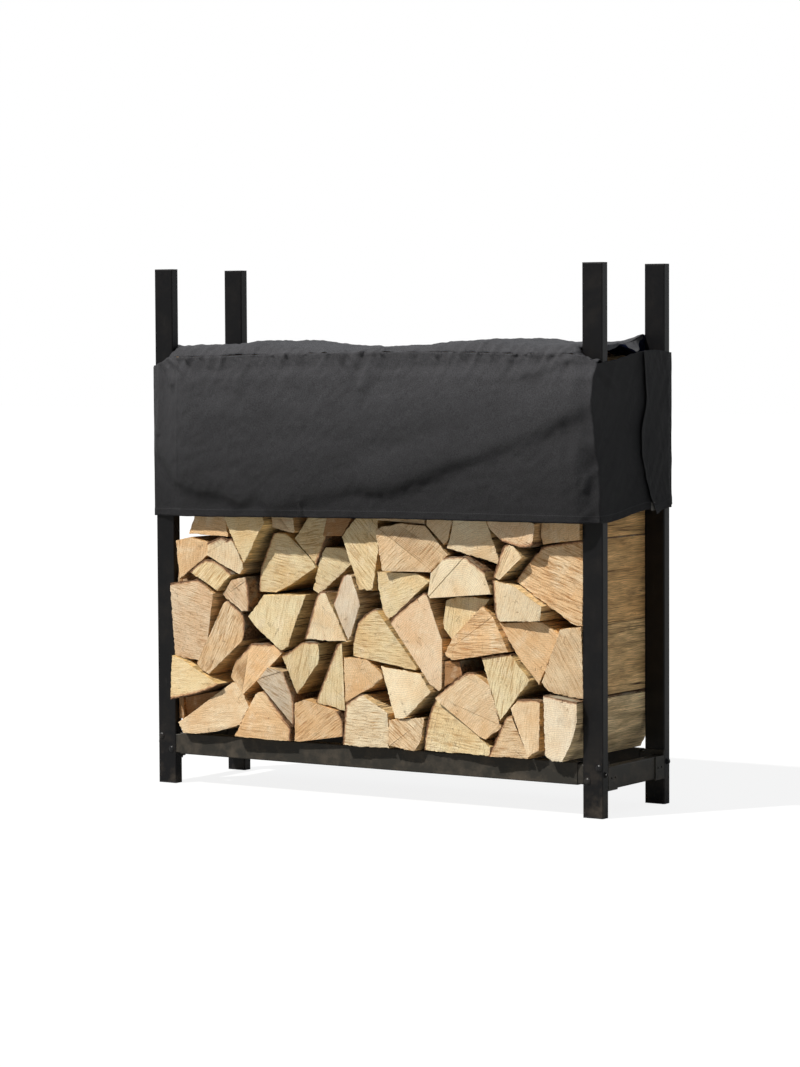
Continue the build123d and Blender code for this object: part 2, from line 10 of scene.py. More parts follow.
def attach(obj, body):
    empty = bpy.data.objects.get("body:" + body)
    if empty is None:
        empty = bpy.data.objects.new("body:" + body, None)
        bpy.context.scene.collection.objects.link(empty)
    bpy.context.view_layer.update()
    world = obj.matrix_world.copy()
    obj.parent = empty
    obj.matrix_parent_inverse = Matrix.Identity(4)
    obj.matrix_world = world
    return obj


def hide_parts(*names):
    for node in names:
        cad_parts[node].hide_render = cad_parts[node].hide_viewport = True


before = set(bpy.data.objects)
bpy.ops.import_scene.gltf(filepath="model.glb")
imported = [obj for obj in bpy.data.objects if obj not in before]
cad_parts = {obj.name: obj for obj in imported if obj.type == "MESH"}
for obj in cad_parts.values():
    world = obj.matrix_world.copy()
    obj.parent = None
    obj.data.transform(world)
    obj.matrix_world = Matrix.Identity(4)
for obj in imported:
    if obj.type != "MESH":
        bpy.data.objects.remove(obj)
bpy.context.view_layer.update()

MM = 0.001
CLOTH_THICKNESS = 0.9

# Rack, in millimetres
RACK_HALF = 600.0
BAY_HALF = 550.0
RACK_HALF_DEPTH = 150.0
POST_MIDDLE_Y = 137.5

# Split logs: how finely their meshes are divided across the sides, along them and on the ends, how far
# the bark reaches round from the way it faces (degrees), how much a sawn end's normal points along the
# log at least, how far back the ends are set (mm) and at what slope, and how high the hidden may stand
VISIBLE_STEPS = (4.8, 14.0, 5.0)
HIDDEN_STEPS = (16.0, 30.0, 14.0)
BARK_SPREAD = 42.0
LENGTHWISE = 0.7
VISIBLE_SET_BACK = 6.0
VISIBLE_SLOPE = 0.10
HIDDEN_SET_BACK = 9.0
LOW_TOP_LINE = [(380, 1040), (470, 998), (550, 996)]

# Fabric cover: heights of its hem, front seam and crown along the rack, how far it stands off the posts
# at a distance from its hugging and its clear end, how it swells from hem to seam, and its right corner
COVER_HALF = 603.0
HEM_LINE = [(-604, 627), (-440, 630), (-160, 635), (105, 639), (604, 640)]
HEM_RISE_BACK = 21.0
BACK_CORNER_RISE = 14.0
SEAM_LINE = [(-604, 973), (-575, 984), (-545, 996), (-469, 997), (-271, 1002), (-78, 1006), (56, 1008),
             (240, 1008), (419, 1005), (540, 1004), (572, 1001), (590, 991), (604, 983)]
CROWN_LINE = [(-604, 1016), (-523, 1022), (-399, 1025), (-311, 1033), (-272, 1028), (-174, 1021),
              (-24, 1013), (43, 1020), (124, 1023), (229, 1032), (307, 1036), (384, 1029),
              (505, 1026), (604, 1023)]
HUGGING_END = [(0, 0.3), (24, 2), (58, 12), (98, 31), (300, 43)]
CLEAR_END = [(0, 24), (80, 41), (300, 45)]
FRONT_BULGE = [(0.0, 0), (0.12, 0), (0.42, 4), (0.66, 10), (0.84, 5), (0.96, -4), (1.0, -9)]
FRONT_SEED = 1.3
BACK_SEED = 7.7
STAND_OFF_KNEE = 54.0
FURTHEST_STAND_OFF = 68.0
RIGHT_CORNER = [(600, 14), (700, 15), (756, 17), (818, 38), (900, 49), (950, 42), (985, 26), (1010, 20)]


def along(line, at, curved=True):
    """Value of a line of (place, value) pairs at a place, eased between them or straight."""
    if at <= line[0][0]:
        return line[0][1]
    for (start, low), (end, high) in zip(line, line[1:]):
        if at <= end:
            share = (at - start) / (end - start)
            if curved:
                share = share * share * (3 - 2 * share)
            return low + share * (high - low)
    return line[-1][1]


def lump(x, y, z):
    return noise.noise(Vector((x, y, z)))


def ripple(x, z, seed, wide, tall):
    """Smooth noise from -1 to 1 on a surface, of a width and a height."""
    return lump(x / wide, seed, z / tall)


def eased(low, high, value):
    share = min(1.0, max(0.0, (value - low) / (high - low)))
    return share * share * (3 - 2 * share)


def paint(red, green, blue):
    """Linear colour of a paint written in the usual 0 to 255."""
    linear = []
    for part in (red / 255, green / 255, blue / 255):
        linear.append(part / 12.92 if part <= 0.04045 else ((part + 0.055) / 1.055) ** 2.4)
    return (*linear, 1.0)


# Pieces


def new_object(name, data):
    made = bpy.data.objects.new(name, data)
    bpy.context.scene.collection.objects.link(made)
    return made


def joined(parts):
    """One bmesh from several, which are used up."""
    whole = bmesh.new()
    for part in parts:
        single = bpy.data.meshes.new("single_part")
        part.to_mesh(single)
        part.free()
        whole.from_mesh(single)
        bpy.data.meshes.remove(single)
    return whole


def smooth_below(shape, angle):
    """Shade a bmesh smooth over the edges that turn by less than an angle in degrees."""
    for face in shape.faces:
        face.smooth = True
    for edge in shape.edges:
        edge.smooth = edge.calc_face_angle(0.0) < math.radians(angle)


def place_piece(name, shape, materials):
    """A new piece from its bmesh, which is used up, riding on the rack."""
    mesh = bpy.data.meshes.new(name)
    shape.to_mesh(mesh)
    shape.free()
    for material in materials:
        mesh.materials.append(material)
    piece = new_object(name, mesh)
    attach(piece, "root")
    return piece


# Nodes of the materials

VECTOR = "NodeSocketVector"
COLOUR = "NodeSocketColor"
NUMBER = "NodeSocketFloat"

# Sizes of the finest forms, in metres
RING_WIDTH = 0.0044
WIDEST_SAW_PITCH = 0.0068
THREAD_PITCH = 0.0011
STITCH_PITCH = 0.0042
HEM_STITCH_HEIGHT = 0.017


class Nodes:
    """A node tree, with a short call for each kind of node that the materials use."""

    def __init__(self, tree):
        self.tree = tree

    def feed(self, socket, value):
        """Link a socket to another one, or set it to a value."""
        if isinstance(value, bpy.types.NodeSocket):
            self.tree.links.new(value, socket)
        else:
            socket.default_value = value

    def add(self, kind, inputs=None, **settings):
        """New node with its settings and its inputs by name or number, given as its outputs."""
        made = self.tree.nodes.new(kind)
        for name, value in settings.items():
            setattr(made, name, value)
        for name, value in (inputs or {}).items():
            self.feed(made.inputs[name], value)
        return made.outputs

    def use(self, group, inputs):
        return self.add("ShaderNodeGroup", inputs, node_tree=group.tree)

    def maths(self, operation, a, b=0.0):
        return self.add("ShaderNodeMath", {0: a, 1: b}, operation=operation)[0]

    def plus(self, a, b):
        return self.maths("ADD", a, b)

    def less(self, a, b):
        return self.maths("SUBTRACT", a, b)

    def times(self, a, b):
        return self.maths("MULTIPLY", a, b)

    def ramp(self, value, low, high, to_low=0.0, to_high=1.0):
        return self.add("ShaderNodeMapRange", {0: value, 1: low, 2: high, 3: to_low, 4: to_high})[0]

    def mix(self, factor, a, b, blend="MIX"):
        return self.add("ShaderNodeMix", {0: factor, 6: a, 7: b}, data_type="RGBA", blend_type=blend)[2]

    def shaded(self, colour, value, low, high):
        """A colour made darker or lighter, from low to high as a value goes from 0 to 1."""
        level = self.ramp(value, 0.0, 1.0, low, high)
        grey = self.add("ShaderNodeCombineColor", {0: level, 1: level, 2: level})[0]
        return self.mix(1.0, colour, grey, "MULTIPLY")

    def stained(self, colour, where, strength, stain):
        """A colour with a stain of some strength where a value is 1."""
        return self.mix(self.times(where, strength), colour, paint(*stain))

    def combined(self, x, y, z):
        return self.add("ShaderNodeCombineXYZ", {0: x, 1: y, 2: z})[0]

    def split(self, vector):
        return list(self.add("ShaderNodeSeparateXYZ", {0: vector}))

    def scaled(self, vector, x, y, z):
        return self.add("ShaderNodeMapping", {"Vector": vector, "Scale": (x, y, z)})[0]

    def cloud(self, vector, scale, detail=3.0, roughness=0.5, distortion=0.0):
        return self.add("ShaderNodeTexNoise", {"Vector": vector, "Scale": scale, "Detail": detail,
                                               "Roughness": roughness, "Distortion": distortion})[0]

    def reading(self, name, output):
        """What the mesh holds under a name, such as the tone of the log."""
        return self.add("ShaderNodeAttribute", attribute_name=name, attribute_type="GEOMETRY")[output]


def new_group(name, inputs, outputs):
    """Node group whose sockets are (name, kind) pairs, with the sockets at its two ends."""
    group = bpy.data.node_groups.new(name, "ShaderNodeTree")
    for socket, kind in inputs:
        group.interface.new_socket(name=socket, in_out="INPUT", socket_type=kind)
    for socket, kind in outputs:
        group.interface.new_socket(name=socket, in_out="OUTPUT", socket_type=kind)
    given = group.nodes.new("NodeGroupInput").outputs
    return Nodes(group), given, group.nodes.new("NodeGroupOutput").inputs


def new_material(name):
    """Material with a plain shader, its tree and its object coordinates."""
    material = bpy.data.materials.new(name)
    material.use_nodes = True
    tree = Nodes(material.node_tree)
    return material, tree, tree.add("ShaderNodeTexCoord")["Object"]


def finish_material(material, tree, colour, roughness, specular, height, distance):
    """Give the plain shader its colour, its shine, and a relief of some height (m)."""
    shader = next(n for n in material.node_tree.nodes if n.type == "BSDF_PRINCIPLED")
    tree.feed(shader.inputs["Base Color"], colour)
    tree.feed(shader.inputs["Roughness"], roughness)
    shader.inputs["Specular IOR Level"].default_value = specular
    bump = tree.add("ShaderNodeBump", {"Height": height, "Distance": distance, "Strength": 1.0})
    tree.feed(shader.inputs["Normal"], bump[0])
    return material


def growth_ring_group():
    """Growth rings round a log's own heart: their darkness from 0 to 1, and the distance from the heart."""
    group, given, result = new_group(
        "growth_rings", [("Place", VECTOR), ("Heart", VECTOR), ("Ring Width", NUMBER)],
        [("Rings", NUMBER), ("Radius", NUMBER)])
    x, y, z = group.split(given["Place"])
    heart_x, seed, heart_z = group.split(given["Heart"])
    away_x = group.less(x, heart_x)
    away_z = group.less(z, heart_z)
    wobble = group.cloud(given["Place"], 18.0, 2.0)
    radius = group.maths("SQRT", group.plus(group.times(away_x, away_x), group.times(away_z, away_z)))
    radius = group.plus(radius, group.times(wobble, 0.016))
    turns = group.maths("DIVIDE", radius, given["Ring Width"])
    uneven = group.cloud(group.scaled(given["Place"], 1.0, 0.2, 1.0), 26.0, 2.0)
    part = group.maths("FRACT", group.plus(turns, group.times(uneven, 1.4)))
    group.feed(result["Rings"], group.maths("POWER", part, 5.0))
    group.feed(result["Radius"], radius)
    return group


def fibre_group():
    """Lines along the grain, as fine lines and as broad streaks."""
    group, given, result = new_group("wood_fibres", [("Place", VECTOR)],
                                     [("Fine", NUMBER), ("Broad", NUMBER)])
    fine = group.cloud(group.scaled(given["Place"], 1.0, 0.035, 1.0), 620.0, 4.0, 0.6)
    broad = group.cloud(group.scaled(given["Place"], 1.0, 0.09, 1.0), 60.0, 4.0, 0.6)
    group.feed(result["Fine"], group.ramp(fine, 0.3, 0.7))
    group.feed(result["Broad"], group.ramp(broad, 0.3, 0.7))
    return group


def bark_group():
    """Colour and height of the bark, furrowed along the log."""
    group, given, result = new_group("bark_skin", [("Place", VECTOR), ("Lichen", NUMBER)],
                                     [("Colour", COLOUR), ("Height", NUMBER)])
    furrows = group.cloud(group.scaled(given["Place"], 1.0, 0.3, 1.0), 95.0, 6.0, 0.62, 0.6)
    flakes = group.cloud(group.scaled(given["Place"], 1.0, 0.6, 1.0), 260.0, 4.0, 0.6)
    patches = group.cloud(given["Place"], 17.0, 3.0)
    brown = group.mix(group.ramp(furrows, 0.36, 0.62), paint(52, 36, 24), paint(128, 96, 66))
    brown = group.mix(group.ramp(flakes, 0.45, 0.75), brown, paint(150, 122, 92))
    grown = group.times(group.ramp(patches, 0.5, 0.66), given["Lichen"])
    group.feed(result["Colour"], group.mix(grown, brown, paint(150, 146, 128)))
    group.feed(result["Height"], group.plus(group.times(furrows, 0.8), group.times(flakes, 0.25)))
    return group


def coat_group():
    """Powder coat: its fine orange peel, the dust that gathers low down, and its scuffs."""
    group, given, result = new_group("powder_coat", [("Place", VECTOR)],
                                     [("Peel", NUMBER), ("Dust", NUMBER), ("Scuffs", NUMBER)])
    x, y, z = group.split(given["Place"])
    low = group.ramp(z, 0.0, 0.16, 1.0, 0.12)
    settled = group.ramp(group.cloud(given["Place"], 24.0, 5.0, 0.65), 0.46, 0.72)
    streaks = group.cloud(group.scaled(given["Place"], 1.0, 1.0, 0.12), 160.0, 4.0, 0.7)
    group.feed(result["Peel"], group.cloud(given["Place"], 900.0, 2.0, 0.5))
    group.feed(result["Dust"], group.times(low, settled))
    group.feed(result["Scuffs"], group.ramp(streaks, 0.62, 0.75))
    return group


def weave_group():
    """Plain weave of the cloth from its flat pattern (m): threads as a height, fading, and creases."""
    group, given, result = new_group("oxford_weave", [("Flat", VECTOR), ("Place", VECTOR)],
                                     [("Threads", NUMBER), ("Fade", NUMBER), ("Creases", NUMBER)])
    u, v, w = group.split(given["Flat"])
    warp = group.maths("SINE", group.times(u, 2 * math.pi / THREAD_PITCH))
    weft = group.maths("SINE", group.times(v, 2 * math.pi / THREAD_PITCH))
    group.feed(result["Threads"], group.times(warp, weft))
    group.feed(result["Fade"], group.ramp(group.cloud(given["Place"], 9.0, 5.0, 0.6), 0.3, 0.7))
    group.feed(result["Creases"], group.cloud(given["Place"], 46.0, 5.0, 0.62, 0.5))
    return group


RINGS = growth_ring_group()
FIBRES = fibre_group()
BARK = bark_group()
COAT = coat_group()
WEAVE = weave_group()


def log_readings(tree):
    """The log's tone, heart, sawing and depth under the bark, as its mesh holds them."""
    return (tree.reading("tone", "Color"), tree.reading("heart", "Vector"),
            tree.reading("sawing", "Vector"), tree.reading("bark_depth", "Fac"))


def sawn_end_material():
    """Sawn end of a log: saw marks, growth rings, stains, cracks and a rim of bark."""
    material, tree, place = new_material("sawn_log_end")
    tone, heart, sawing, depth = log_readings(tree)
    x, y, z = tree.split(place)
    heart_x, seed, heart_z = tree.split(heart)
    apart = tree.combined(seed, 0.0, seed)
    own = tree.add("ShaderNodeVectorMath", {0: place, 1: apart}, operation="ADD")[0]
    rings = tree.use(RINGS, {"Place": place, "Heart": heart, "Ring Width": RING_WIDTH})

    cosine, strength, sine = tree.split(sawing)
    drift = tree.times(tree.cloud(own, 13.0, 2.0), 0.012)
    across = tree.plus(tree.less(tree.times(z, cosine), tree.times(x, sine)), drift)
    lengthwise = tree.plus(tree.times(x, cosine), tree.times(z, sine))
    share = tree.maths("FRACT", tree.times(seed, 3.7))
    own_pitch = tree.ramp(share, 0.0, 1.0, RING_WIDTH, WIDEST_SAW_PITCH)
    turn = tree.times(tree.maths("DIVIDE", across, own_pitch), 2 * math.pi)
    broad = tree.ramp(tree.maths("SINE", turn), -1.0, 1.0)
    bite = tree.ramp(tree.cloud(own, 48.0, 4.0, 0.65), 0.36, 0.60, 0.1, 1.0)
    grooves = tree.times(tree.maths("POWER", broad, 2.6), tree.times(bite, 0.3))
    run = tree.combined(tree.times(lengthwise, 26.0), tree.times(seed, 9.0), tree.times(across, 400.0))
    scratches = tree.ramp(tree.cloud(run, 1.0, 4.0, 0.68), 0.50, 0.66)
    teeth = tree.plus(grooves, tree.times(scratches, 0.8))
    marks = tree.times(teeth, tree.ramp(strength, 0.0, 1.0, 0.12, 1.05))

    fuzz = tree.cloud(own, 430.0, 4.0, 0.75)
    pores = tree.cloud(own, 1300.0, 2.0, 0.6)
    warmth = tree.ramp(tree.cloud(own, 13.0, 4.0, 0.6), 0.36, 0.66)
    warm = tree.mix(0.75, tone, paint(238, 206, 166), "MULTIPLY")
    colour = tree.mix(tree.times(warmth, 0.7), tone, warm)
    paler = tree.ramp(tree.cloud(own, 24.0, 4.0, 0.6), 0.52, 0.72)
    colour = tree.stained(colour, paler, 0.55, (240, 226, 196))
    colour = tree.shaded(colour, rings["Rings"], 1.0, tree.ramp(strength, 0.2, 0.6, 0.70, 0.88))
    groove_colour = tree.mix(1.0, colour, paint(204, 170, 130), "MULTIPLY")
    colour = tree.mix(tree.ramp(marks, 0.0, 0.9, 0.0, 0.95), colour, groove_colour)
    colour = tree.shaded(colour, tree.ramp(fuzz, 0.25, 0.75), 0.76, 1.26)
    colour = tree.shaded(colour, tree.ramp(pores, 0.3, 0.7), 0.90, 1.06)

    spots = tree.ramp(tree.cloud(own, 95.0, 2.0), 0.70, 0.78)
    colour = tree.stained(colour, spots, 0.5, (140, 98, 62))
    grime = tree.ramp(tree.cloud(own, 19.0, 5.0, 0.65), 0.6, 0.78)
    colour = tree.stained(colour, grime, 0.42, (150, 130, 106))

    angle = tree.maths("ARCTAN2", tree.less(z, heart_z), tree.less(x, heart_x))
    spokes = tree.combined(tree.times(angle, 5.0), seed, tree.times(rings["Radius"], 9.0))
    off_middle = tree.maths("ABSOLUTE", tree.less(tree.cloud(spokes, 1.6, 2.0), 0.5))
    where = tree.ramp(tree.cloud(own, 40.0, 2.0), 0.54, 0.62)
    cracks = tree.times(tree.ramp(off_middle, 0.0, 0.005, 1.0, 0.0), where)
    colour = tree.stained(colour, cracks, 0.6, (104, 70, 44))

    bark = tree.use(BARK, {"Place": place, "Lichen": 0.2})
    rim = tree.plus(depth, tree.times(tree.cloud(own, 75.0, 4.0, 0.65), 12.0))
    inner_bark = tree.ramp(rim, 11.0, 14.0, 1.0, 0.0)
    outer_bark = tree.ramp(rim, 8.6, 10.6, 1.0, 0.0)
    colour = tree.stained(colour, inner_bark, 0.7, (178, 128, 90))
    colour = tree.mix(outer_bark, colour, tree.mix(0.5, bark["Colour"], paint(112, 76, 54)))

    height = tree.less(tree.times(fuzz, 0.6), tree.times(marks, 0.62))
    height = tree.less(height, cracks)
    height = tree.less(height, tree.times(rings["Rings"], 0.15))
    height = tree.plus(height, tree.times(tree.times(outer_bark, bark["Height"]), 1.2))
    roughness = tree.ramp(fuzz, 0.2, 0.8, 0.72, 0.92)
    return finish_material(material, tree, colour, roughness, 0.25, height, 0.0016)


def split_side_material():
    """Side of a log as the axe left it: long fibres, drying cracks, and bark along its outer edge."""
    material, tree, place = new_material("split_log_side")
    tone, heart, sawing, depth = log_readings(tree)
    fibres = tree.use(FIBRES, {"Place": place})
    rings = tree.use(RINGS, {"Place": place, "Heart": heart, "Ring Width": RING_WIDTH})
    patches = tree.cloud(tree.scaled(place, 1.0, 0.3, 1.0), 16.0, 4.0, 0.6)
    fresh = tree.mix(0.9, tone, paint(250, 232, 198), "MULTIPLY")
    aged = tree.mix(0.9, tone, paint(218, 194, 156), "MULTIPLY")
    colour = tree.mix(tree.ramp(patches, 0.36, 0.64), aged, fresh)
    colour = tree.shaded(colour, fibres["Broad"], 0.54, 1.46)
    colour = tree.shaded(colour, fibres["Fine"], 0.56, 1.50)
    colour = tree.stained(colour, rings["Rings"], 0.5, (132, 94, 58))
    stain = tree.ramp(tree.cloud(tree.scaled(place, 1.0, 0.2, 1.0), 30.0, 5.0, 0.65), 0.58, 0.72)
    colour = tree.stained(colour, stain, 0.6, (78, 58, 42))
    off_middle = tree.less(tree.cloud(tree.scaled(place, 1.0, 0.02, 1.0), 30.0, 3.0, 0.5), 0.5)
    crack = tree.ramp(tree.maths("ABSOLUTE", off_middle), 0.002, 0.013, 1.0, 0.0)
    crack = tree.times(crack, tree.ramp(patches, 0.40, 0.58, 0.25, 0.95))
    colour = tree.mix(crack, colour, paint(58, 40, 26))
    bark = tree.use(BARK, {"Place": place, "Lichen": 0.4})
    rim = tree.plus(depth, tree.times(tree.cloud(place, 120.0, 3.0), 4.0))
    outer_bark = tree.ramp(rim, 4.6, 6.4, 1.0, 0.0)
    colour = tree.mix(outer_bark, colour, bark["Colour"])
    height = tree.plus(tree.times(fibres["Fine"], 0.5), fibres["Broad"])
    height = tree.plus(height, tree.times(tree.times(outer_bark, bark["Height"]), 1.5))
    height = tree.less(height, crack)
    roughness = tree.ramp(fibres["Broad"], 0.0, 1.0, 0.88, 0.7)
    return finish_material(material, tree, colour, roughness, 0.25, height, 0.0018)


def bark_material():
    """Bark of a log, furrowed and patched with grey lichen."""
    material, tree, place = new_material("log_bark")
    bark = tree.use(BARK, {"Place": place, "Lichen": 0.75})
    roughness = tree.ramp(bark["Height"], 0.3, 0.9, 0.92, 0.78)
    return finish_material(material, tree, bark["Colour"], roughness, 0.2, bark["Height"], 0.004)


def steel_material(name, base, rough, dust=0.28):
    """Black powder-coated steel with its share of dust."""
    material, tree, place = new_material(name)
    coat = tree.use(COAT, {"Place": place})
    colour = tree.stained(base, coat["Dust"], dust, (112, 100, 86))
    colour = tree.stained(colour, coat["Scuffs"], 0.16, (96, 94, 92))
    roughness = tree.plus(tree.ramp(coat["Peel"], 0.3, 0.7, rough - 0.03, rough + 0.05),
                          tree.times(coat["Dust"], 0.25))
    return finish_material(material, tree, colour, roughness, 0.24, coat["Peel"], 0.00022)


def plug_material():
    """Black moulded plastic of the post plugs."""
    material, tree, place = new_material("moulded_plug_plastic")
    grain = tree.cloud(place, 1400.0, 2.0)
    dust = tree.ramp(tree.cloud(place, 60.0, 4.0), 0.45, 0.75)
    colour = tree.stained(paint(34, 34, 36), dust, 0.3, (92, 88, 82))
    roughness = tree.ramp(grain, 0.3, 0.7, 0.5, 0.62)
    return finish_material(material, tree, colour, roughness, 0.3, grain, 0.0002)


def cloth_material(name, base, paler):
    """Coated cloth, matt, paler upwards (sun fade and painted light), its hem stitched a little above the
    edge.
    """
    material, tree, place = new_material(name)
    flat = tree.add("ShaderNodeUVMap", uv_map="flat_cut")[0]
    weave = tree.use(WEAVE, {"Flat": flat, "Place": place})
    x, y, z = tree.split(place)
    # Paler towards the top: partly the cloth's own sun fade, partly painted light for the upper band and
    # top sheet that face the sky.
    fade_and_painted_light = tree.times(tree.ramp(z, 0.66, 1.02), tree.ramp(weave["Fade"], 0.0, 1.0, 0.7, 1.0))
    speckle = tree.cloud(place, 420.0, 3.0, 0.7)
    colour = tree.shaded(tree.mix(fade_and_painted_light, base, paler), tree.ramp(speckle, 0.25, 0.75), 0.56, 1.46)
    u, v, w = tree.split(flat)
    off_row = tree.maths("ABSOLUTE", tree.less(v, HEM_STITCH_HEIGHT))
    row = tree.ramp(off_row, 0.0004, 0.0009, 1.0, 0.0)
    step = tree.maths("FRACT", tree.times(u, 1 / STITCH_PITCH))
    thread = tree.times(row, tree.ramp(step, 0.66, 0.72, 1.0, 0.0))
    colour = tree.stained(colour, thread, 0.6, (72, 72, 74))
    height = tree.plus(tree.times(weave["Threads"], 0.16), tree.times(weave["Creases"], 1.6))
    height = tree.plus(height, tree.times(thread, 0.5))
    height = tree.plus(height, tree.times(speckle, 0.25))
    roughness = tree.ramp(weave["Fade"], 0.0, 1.0, 0.46, 0.56)
    return finish_material(material, tree, colour, roughness, 0.06, height, 0.0012)


def fastener_strip_material():
    """Looped pile of the fastener strip."""
    material, tree, place = new_material("hook_and_loop_pile")
    loops = tree.cloud(place, 900.0, 3.0, 0.7)
    colour = tree.mix(tree.ramp(loops, 0.35, 0.7), paint(66, 65, 64), paint(124, 122, 118))
    return finish_material(material, tree, colour, tree.ramp(loops, 0.3, 0.7, 0.95, 0.8), 0.5, loops, 0.001)


# Split logs

CREAM = paint(234, 218, 186)
YELLOW = paint(230, 213, 172)
STRAW = paint(226, 211, 172)
TAN = paint(226, 203, 168)
ORANGE = paint(228, 198, 157)
PINK = paint(230, 207, 176)
GREY = paint(212, 199, 178)
WHITE = paint(236, 226, 204)
# Painted shade: this dark brown tone goes on log ends and sticks that sit deep in shaded gaps.
SHADE_BROWN = paint(168, 132, 94)

# Each visible log: the middle of its end across and up (mm), its tone, the slope of its saw marks in
# degrees and their strength, the way that its bark faces in degrees from level or None, and how far
# across and up its heart lies from the middle (mm)
# Logs given the dark brown tone are painted shade for ends that sit deep in shaded gaps.
LOGS = {
    "logs_course_1": [
        (-496, 197, SHADE_BROWN, 0, 0.3, None, (0, 100)),
        (-418, 176, TAN, 8, 0.3, None, (-60, 110)),
        (-281, 164, ORANGE, -4, 0.5, 40, (-70, -60)),
        (-138, 170, ORANGE, 34, 0.9, 20, (-60, -90)),
        (-1, 172, CREAM, -2, 0.8, 160, (50, -50)),
        (105, 159, TAN, -38, 1.0, None, (40, 80)),
        (221, 163, YELLOW, -6, 0.6, 150, (60, -60)),
        (375, 155, TAN, 2, 0.9, 150, (60, -50)),
        (424, 199, TAN, 86, 0.4, 90, (0, -110)),
        (504, 197, WHITE, 80, 0.2, 104, (10, -120)),
    ],
    "logs_course_2": [
        (-498, 247, YELLOW, 4, 0.4, -72, (-30, 90)),
        (-313, 291, ORANGE, 50, 0.6, 95, (30, -100)),
        (-240, 234, GREY, -26, 0.9, 8, (-90, 0)),
        (-178, 302, STRAW, 72, 0.7, 120, (40, -110)),
        (-88, 262, STRAW, 88, 0.5, 150, (60, -60)),
        (-22, 278, ORANGE, 10, 0.2, None, (-70, -10)),
        (103, 255, CREAM, 60, 0.2, None, (-10, 120)),
        (277, 233, TAN, 40, 0.3, 128, (60, -70)),
        (363, 289, STRAW, 76, 0.8, 85, (0, -130)),
        (508, 327, TAN, -60, 0.6, None, (20, 110)),
    ],
    "logs_course_3": [
        (-490, 392, PINK, -12, 0.8, 98, (0, -150)),
        (-401, 350, TAN, 64, 1.0, 22, (-90, -60)),
        (-249, 403, STRAW, 84, 0.4, None, (30, 110)),
        (-112, 399, CREAM, 88, 0.3, 131, (60, -60)),
        (35, 358, YELLOW, -3, 0.9, 126, (50, -50)),
        (149, 375, PINK, 78, 0.2, 128, (60, -80)),
        (294, 379, ORANGE, 2, 1.0, None, (0, 120)),
        (425, 370, ORANGE, -40, 0.4, None, (40, 120)),
        (223, 302, SHADE_BROWN, 20, 0.5, 0, (-60, 20)),
    ],
    "logs_course_4": [
        (-425, 498, STRAW, 48, 0.9, 95, (0, -110)),
        (-351, 453, PINK, -48, 0.6, 0, (-80, 10)),
        (-50, 441, GREY, 84, 0.3, 165, (90, -20)),
        (81, 477, YELLOW, 20, 0.4, None, (-40, 90)),
        (244, 433, YELLOW, 80, 0.4, None, (40, 90)),
        (390, 458, CREAM, 70, 0.3, 180, (100, 0)),
    ],
    "logs_course_5": [
        (-488, 541, ORANGE, 84, 0.4, None, (20, -110)),
        (-386, 544, CREAM, 82, 0.4, 85, (20, -100)),
        (-246, 523, YELLOW, -8, 0.7, 178, (110, 30)),
        (-117, 519, YELLOW, -24, 0.6, None, (60, 70)),
        (-12, 566, YELLOW, -46, 0.8, None, (0, -140)),
        (114, 572, TAN, 44, 0.8, None, (-20, -110)),
        (246, 508, CREAM, 60, 0.15, 90, (4, -42)),
        (371, 552, CREAM, 40, 0.3, 155, (60, -40)),
        (487, 516, ORANGE, -20, 1.0, 132, (70, -90)),
    ],
    "logs_course_6": [
        (-436, 614, ORANGE, -10, 0.4, None, (0, -120)),
        (-332, 608, YELLOW, 10, 0.3, None, (0, -130)),
        (-238, 637, TAN, 0, 0.4, None, (0, -120)),
        (-158, 594, YELLOW, 8, 0.8, -20, (-80, 40)),
        (-84, 629, SHADE_BROWN, 10, 0.4, 120, (30, -60)),
        (95, 644, TAN, 0, 0.4, None, (0, -100)),
        (192, 631, TAN, 40, 0.4, None, (40, 60)),
        (277, 607, CREAM, 20, 0.3, None, (30, 100)),
        (385, 623, PINK, 60, 0.4, -80, (0, 90)),
        (494, 629, ORANGE, 30, 0.3, None, (0, 120)),
    ],
}
HIDDEN_TONES = [TAN, CREAM, ORANGE, YELLOW, PINK, STRAW]

SAWN, SPLIT, BARKED = range(3)


def separate_solids(node):
    """Each solid of a CAD node as a bmesh of its own, with flat faces made whole, left to right."""
    whole = bmesh.new()
    whole.from_mesh(node.data)
    bmesh.ops.remove_doubles(whole, verts=whole.verts, dist=2e-6)
    whole.verts.index_update()
    left = set(range(len(whole.verts)))
    solids = []
    while left:
        start = min(left)
        found = {start}
        ahead = [start]
        whole.verts.ensure_lookup_table()
        while ahead:
            for edge in whole.verts[ahead.pop()].link_edges:
                for vertex in edge.verts:
                    if vertex.index not in found:
                        found.add(vertex.index)
                        ahead.append(vertex.index)
        left -= found
        solid = whole.copy()
        solid.verts.ensure_lookup_table()
        unwanted = [v for v in solid.verts if v.index not in found]
        bmesh.ops.delete(solid, geom=unwanted, context="VERTS")
        bmesh.ops.dissolve_limit(solid, angle_limit=math.radians(0.5), verts=solid.verts, edges=solid.edges)
        solids.append(solid)
    whole.free()
    return solids


def middle_of(log):
    """Middle of a log's box, across and up, in millimetres."""
    across = [v.co.x for v in log.verts]
    up = [v.co.z for v in log.verts]
    return (min(across) + max(across)) / 2 / MM, (min(up) + max(up)) / 2 / MM


def centre_of_end(log):
    front = min(log.faces, key=lambda f: f.normal.y)
    centre = front.calc_center_median_weighted()
    return centre.x / MM, centre.z / MM


def bark_planes(log, facing):
    """Faces of the log that carry bark: those that look the way that the bark faces."""
    if facing is None:
        return []
    way = Vector((math.cos(math.radians(facing)), 0.0, math.sin(math.radians(facing))))
    planes = []
    for face in log.faces:
        if abs(face.normal.y) < LENGTHWISE and face.normal.angle(way) < math.radians(BARK_SPREAD):
            planes.append((face.index, face.calc_center_median(), face.normal.copy()))
    return planes


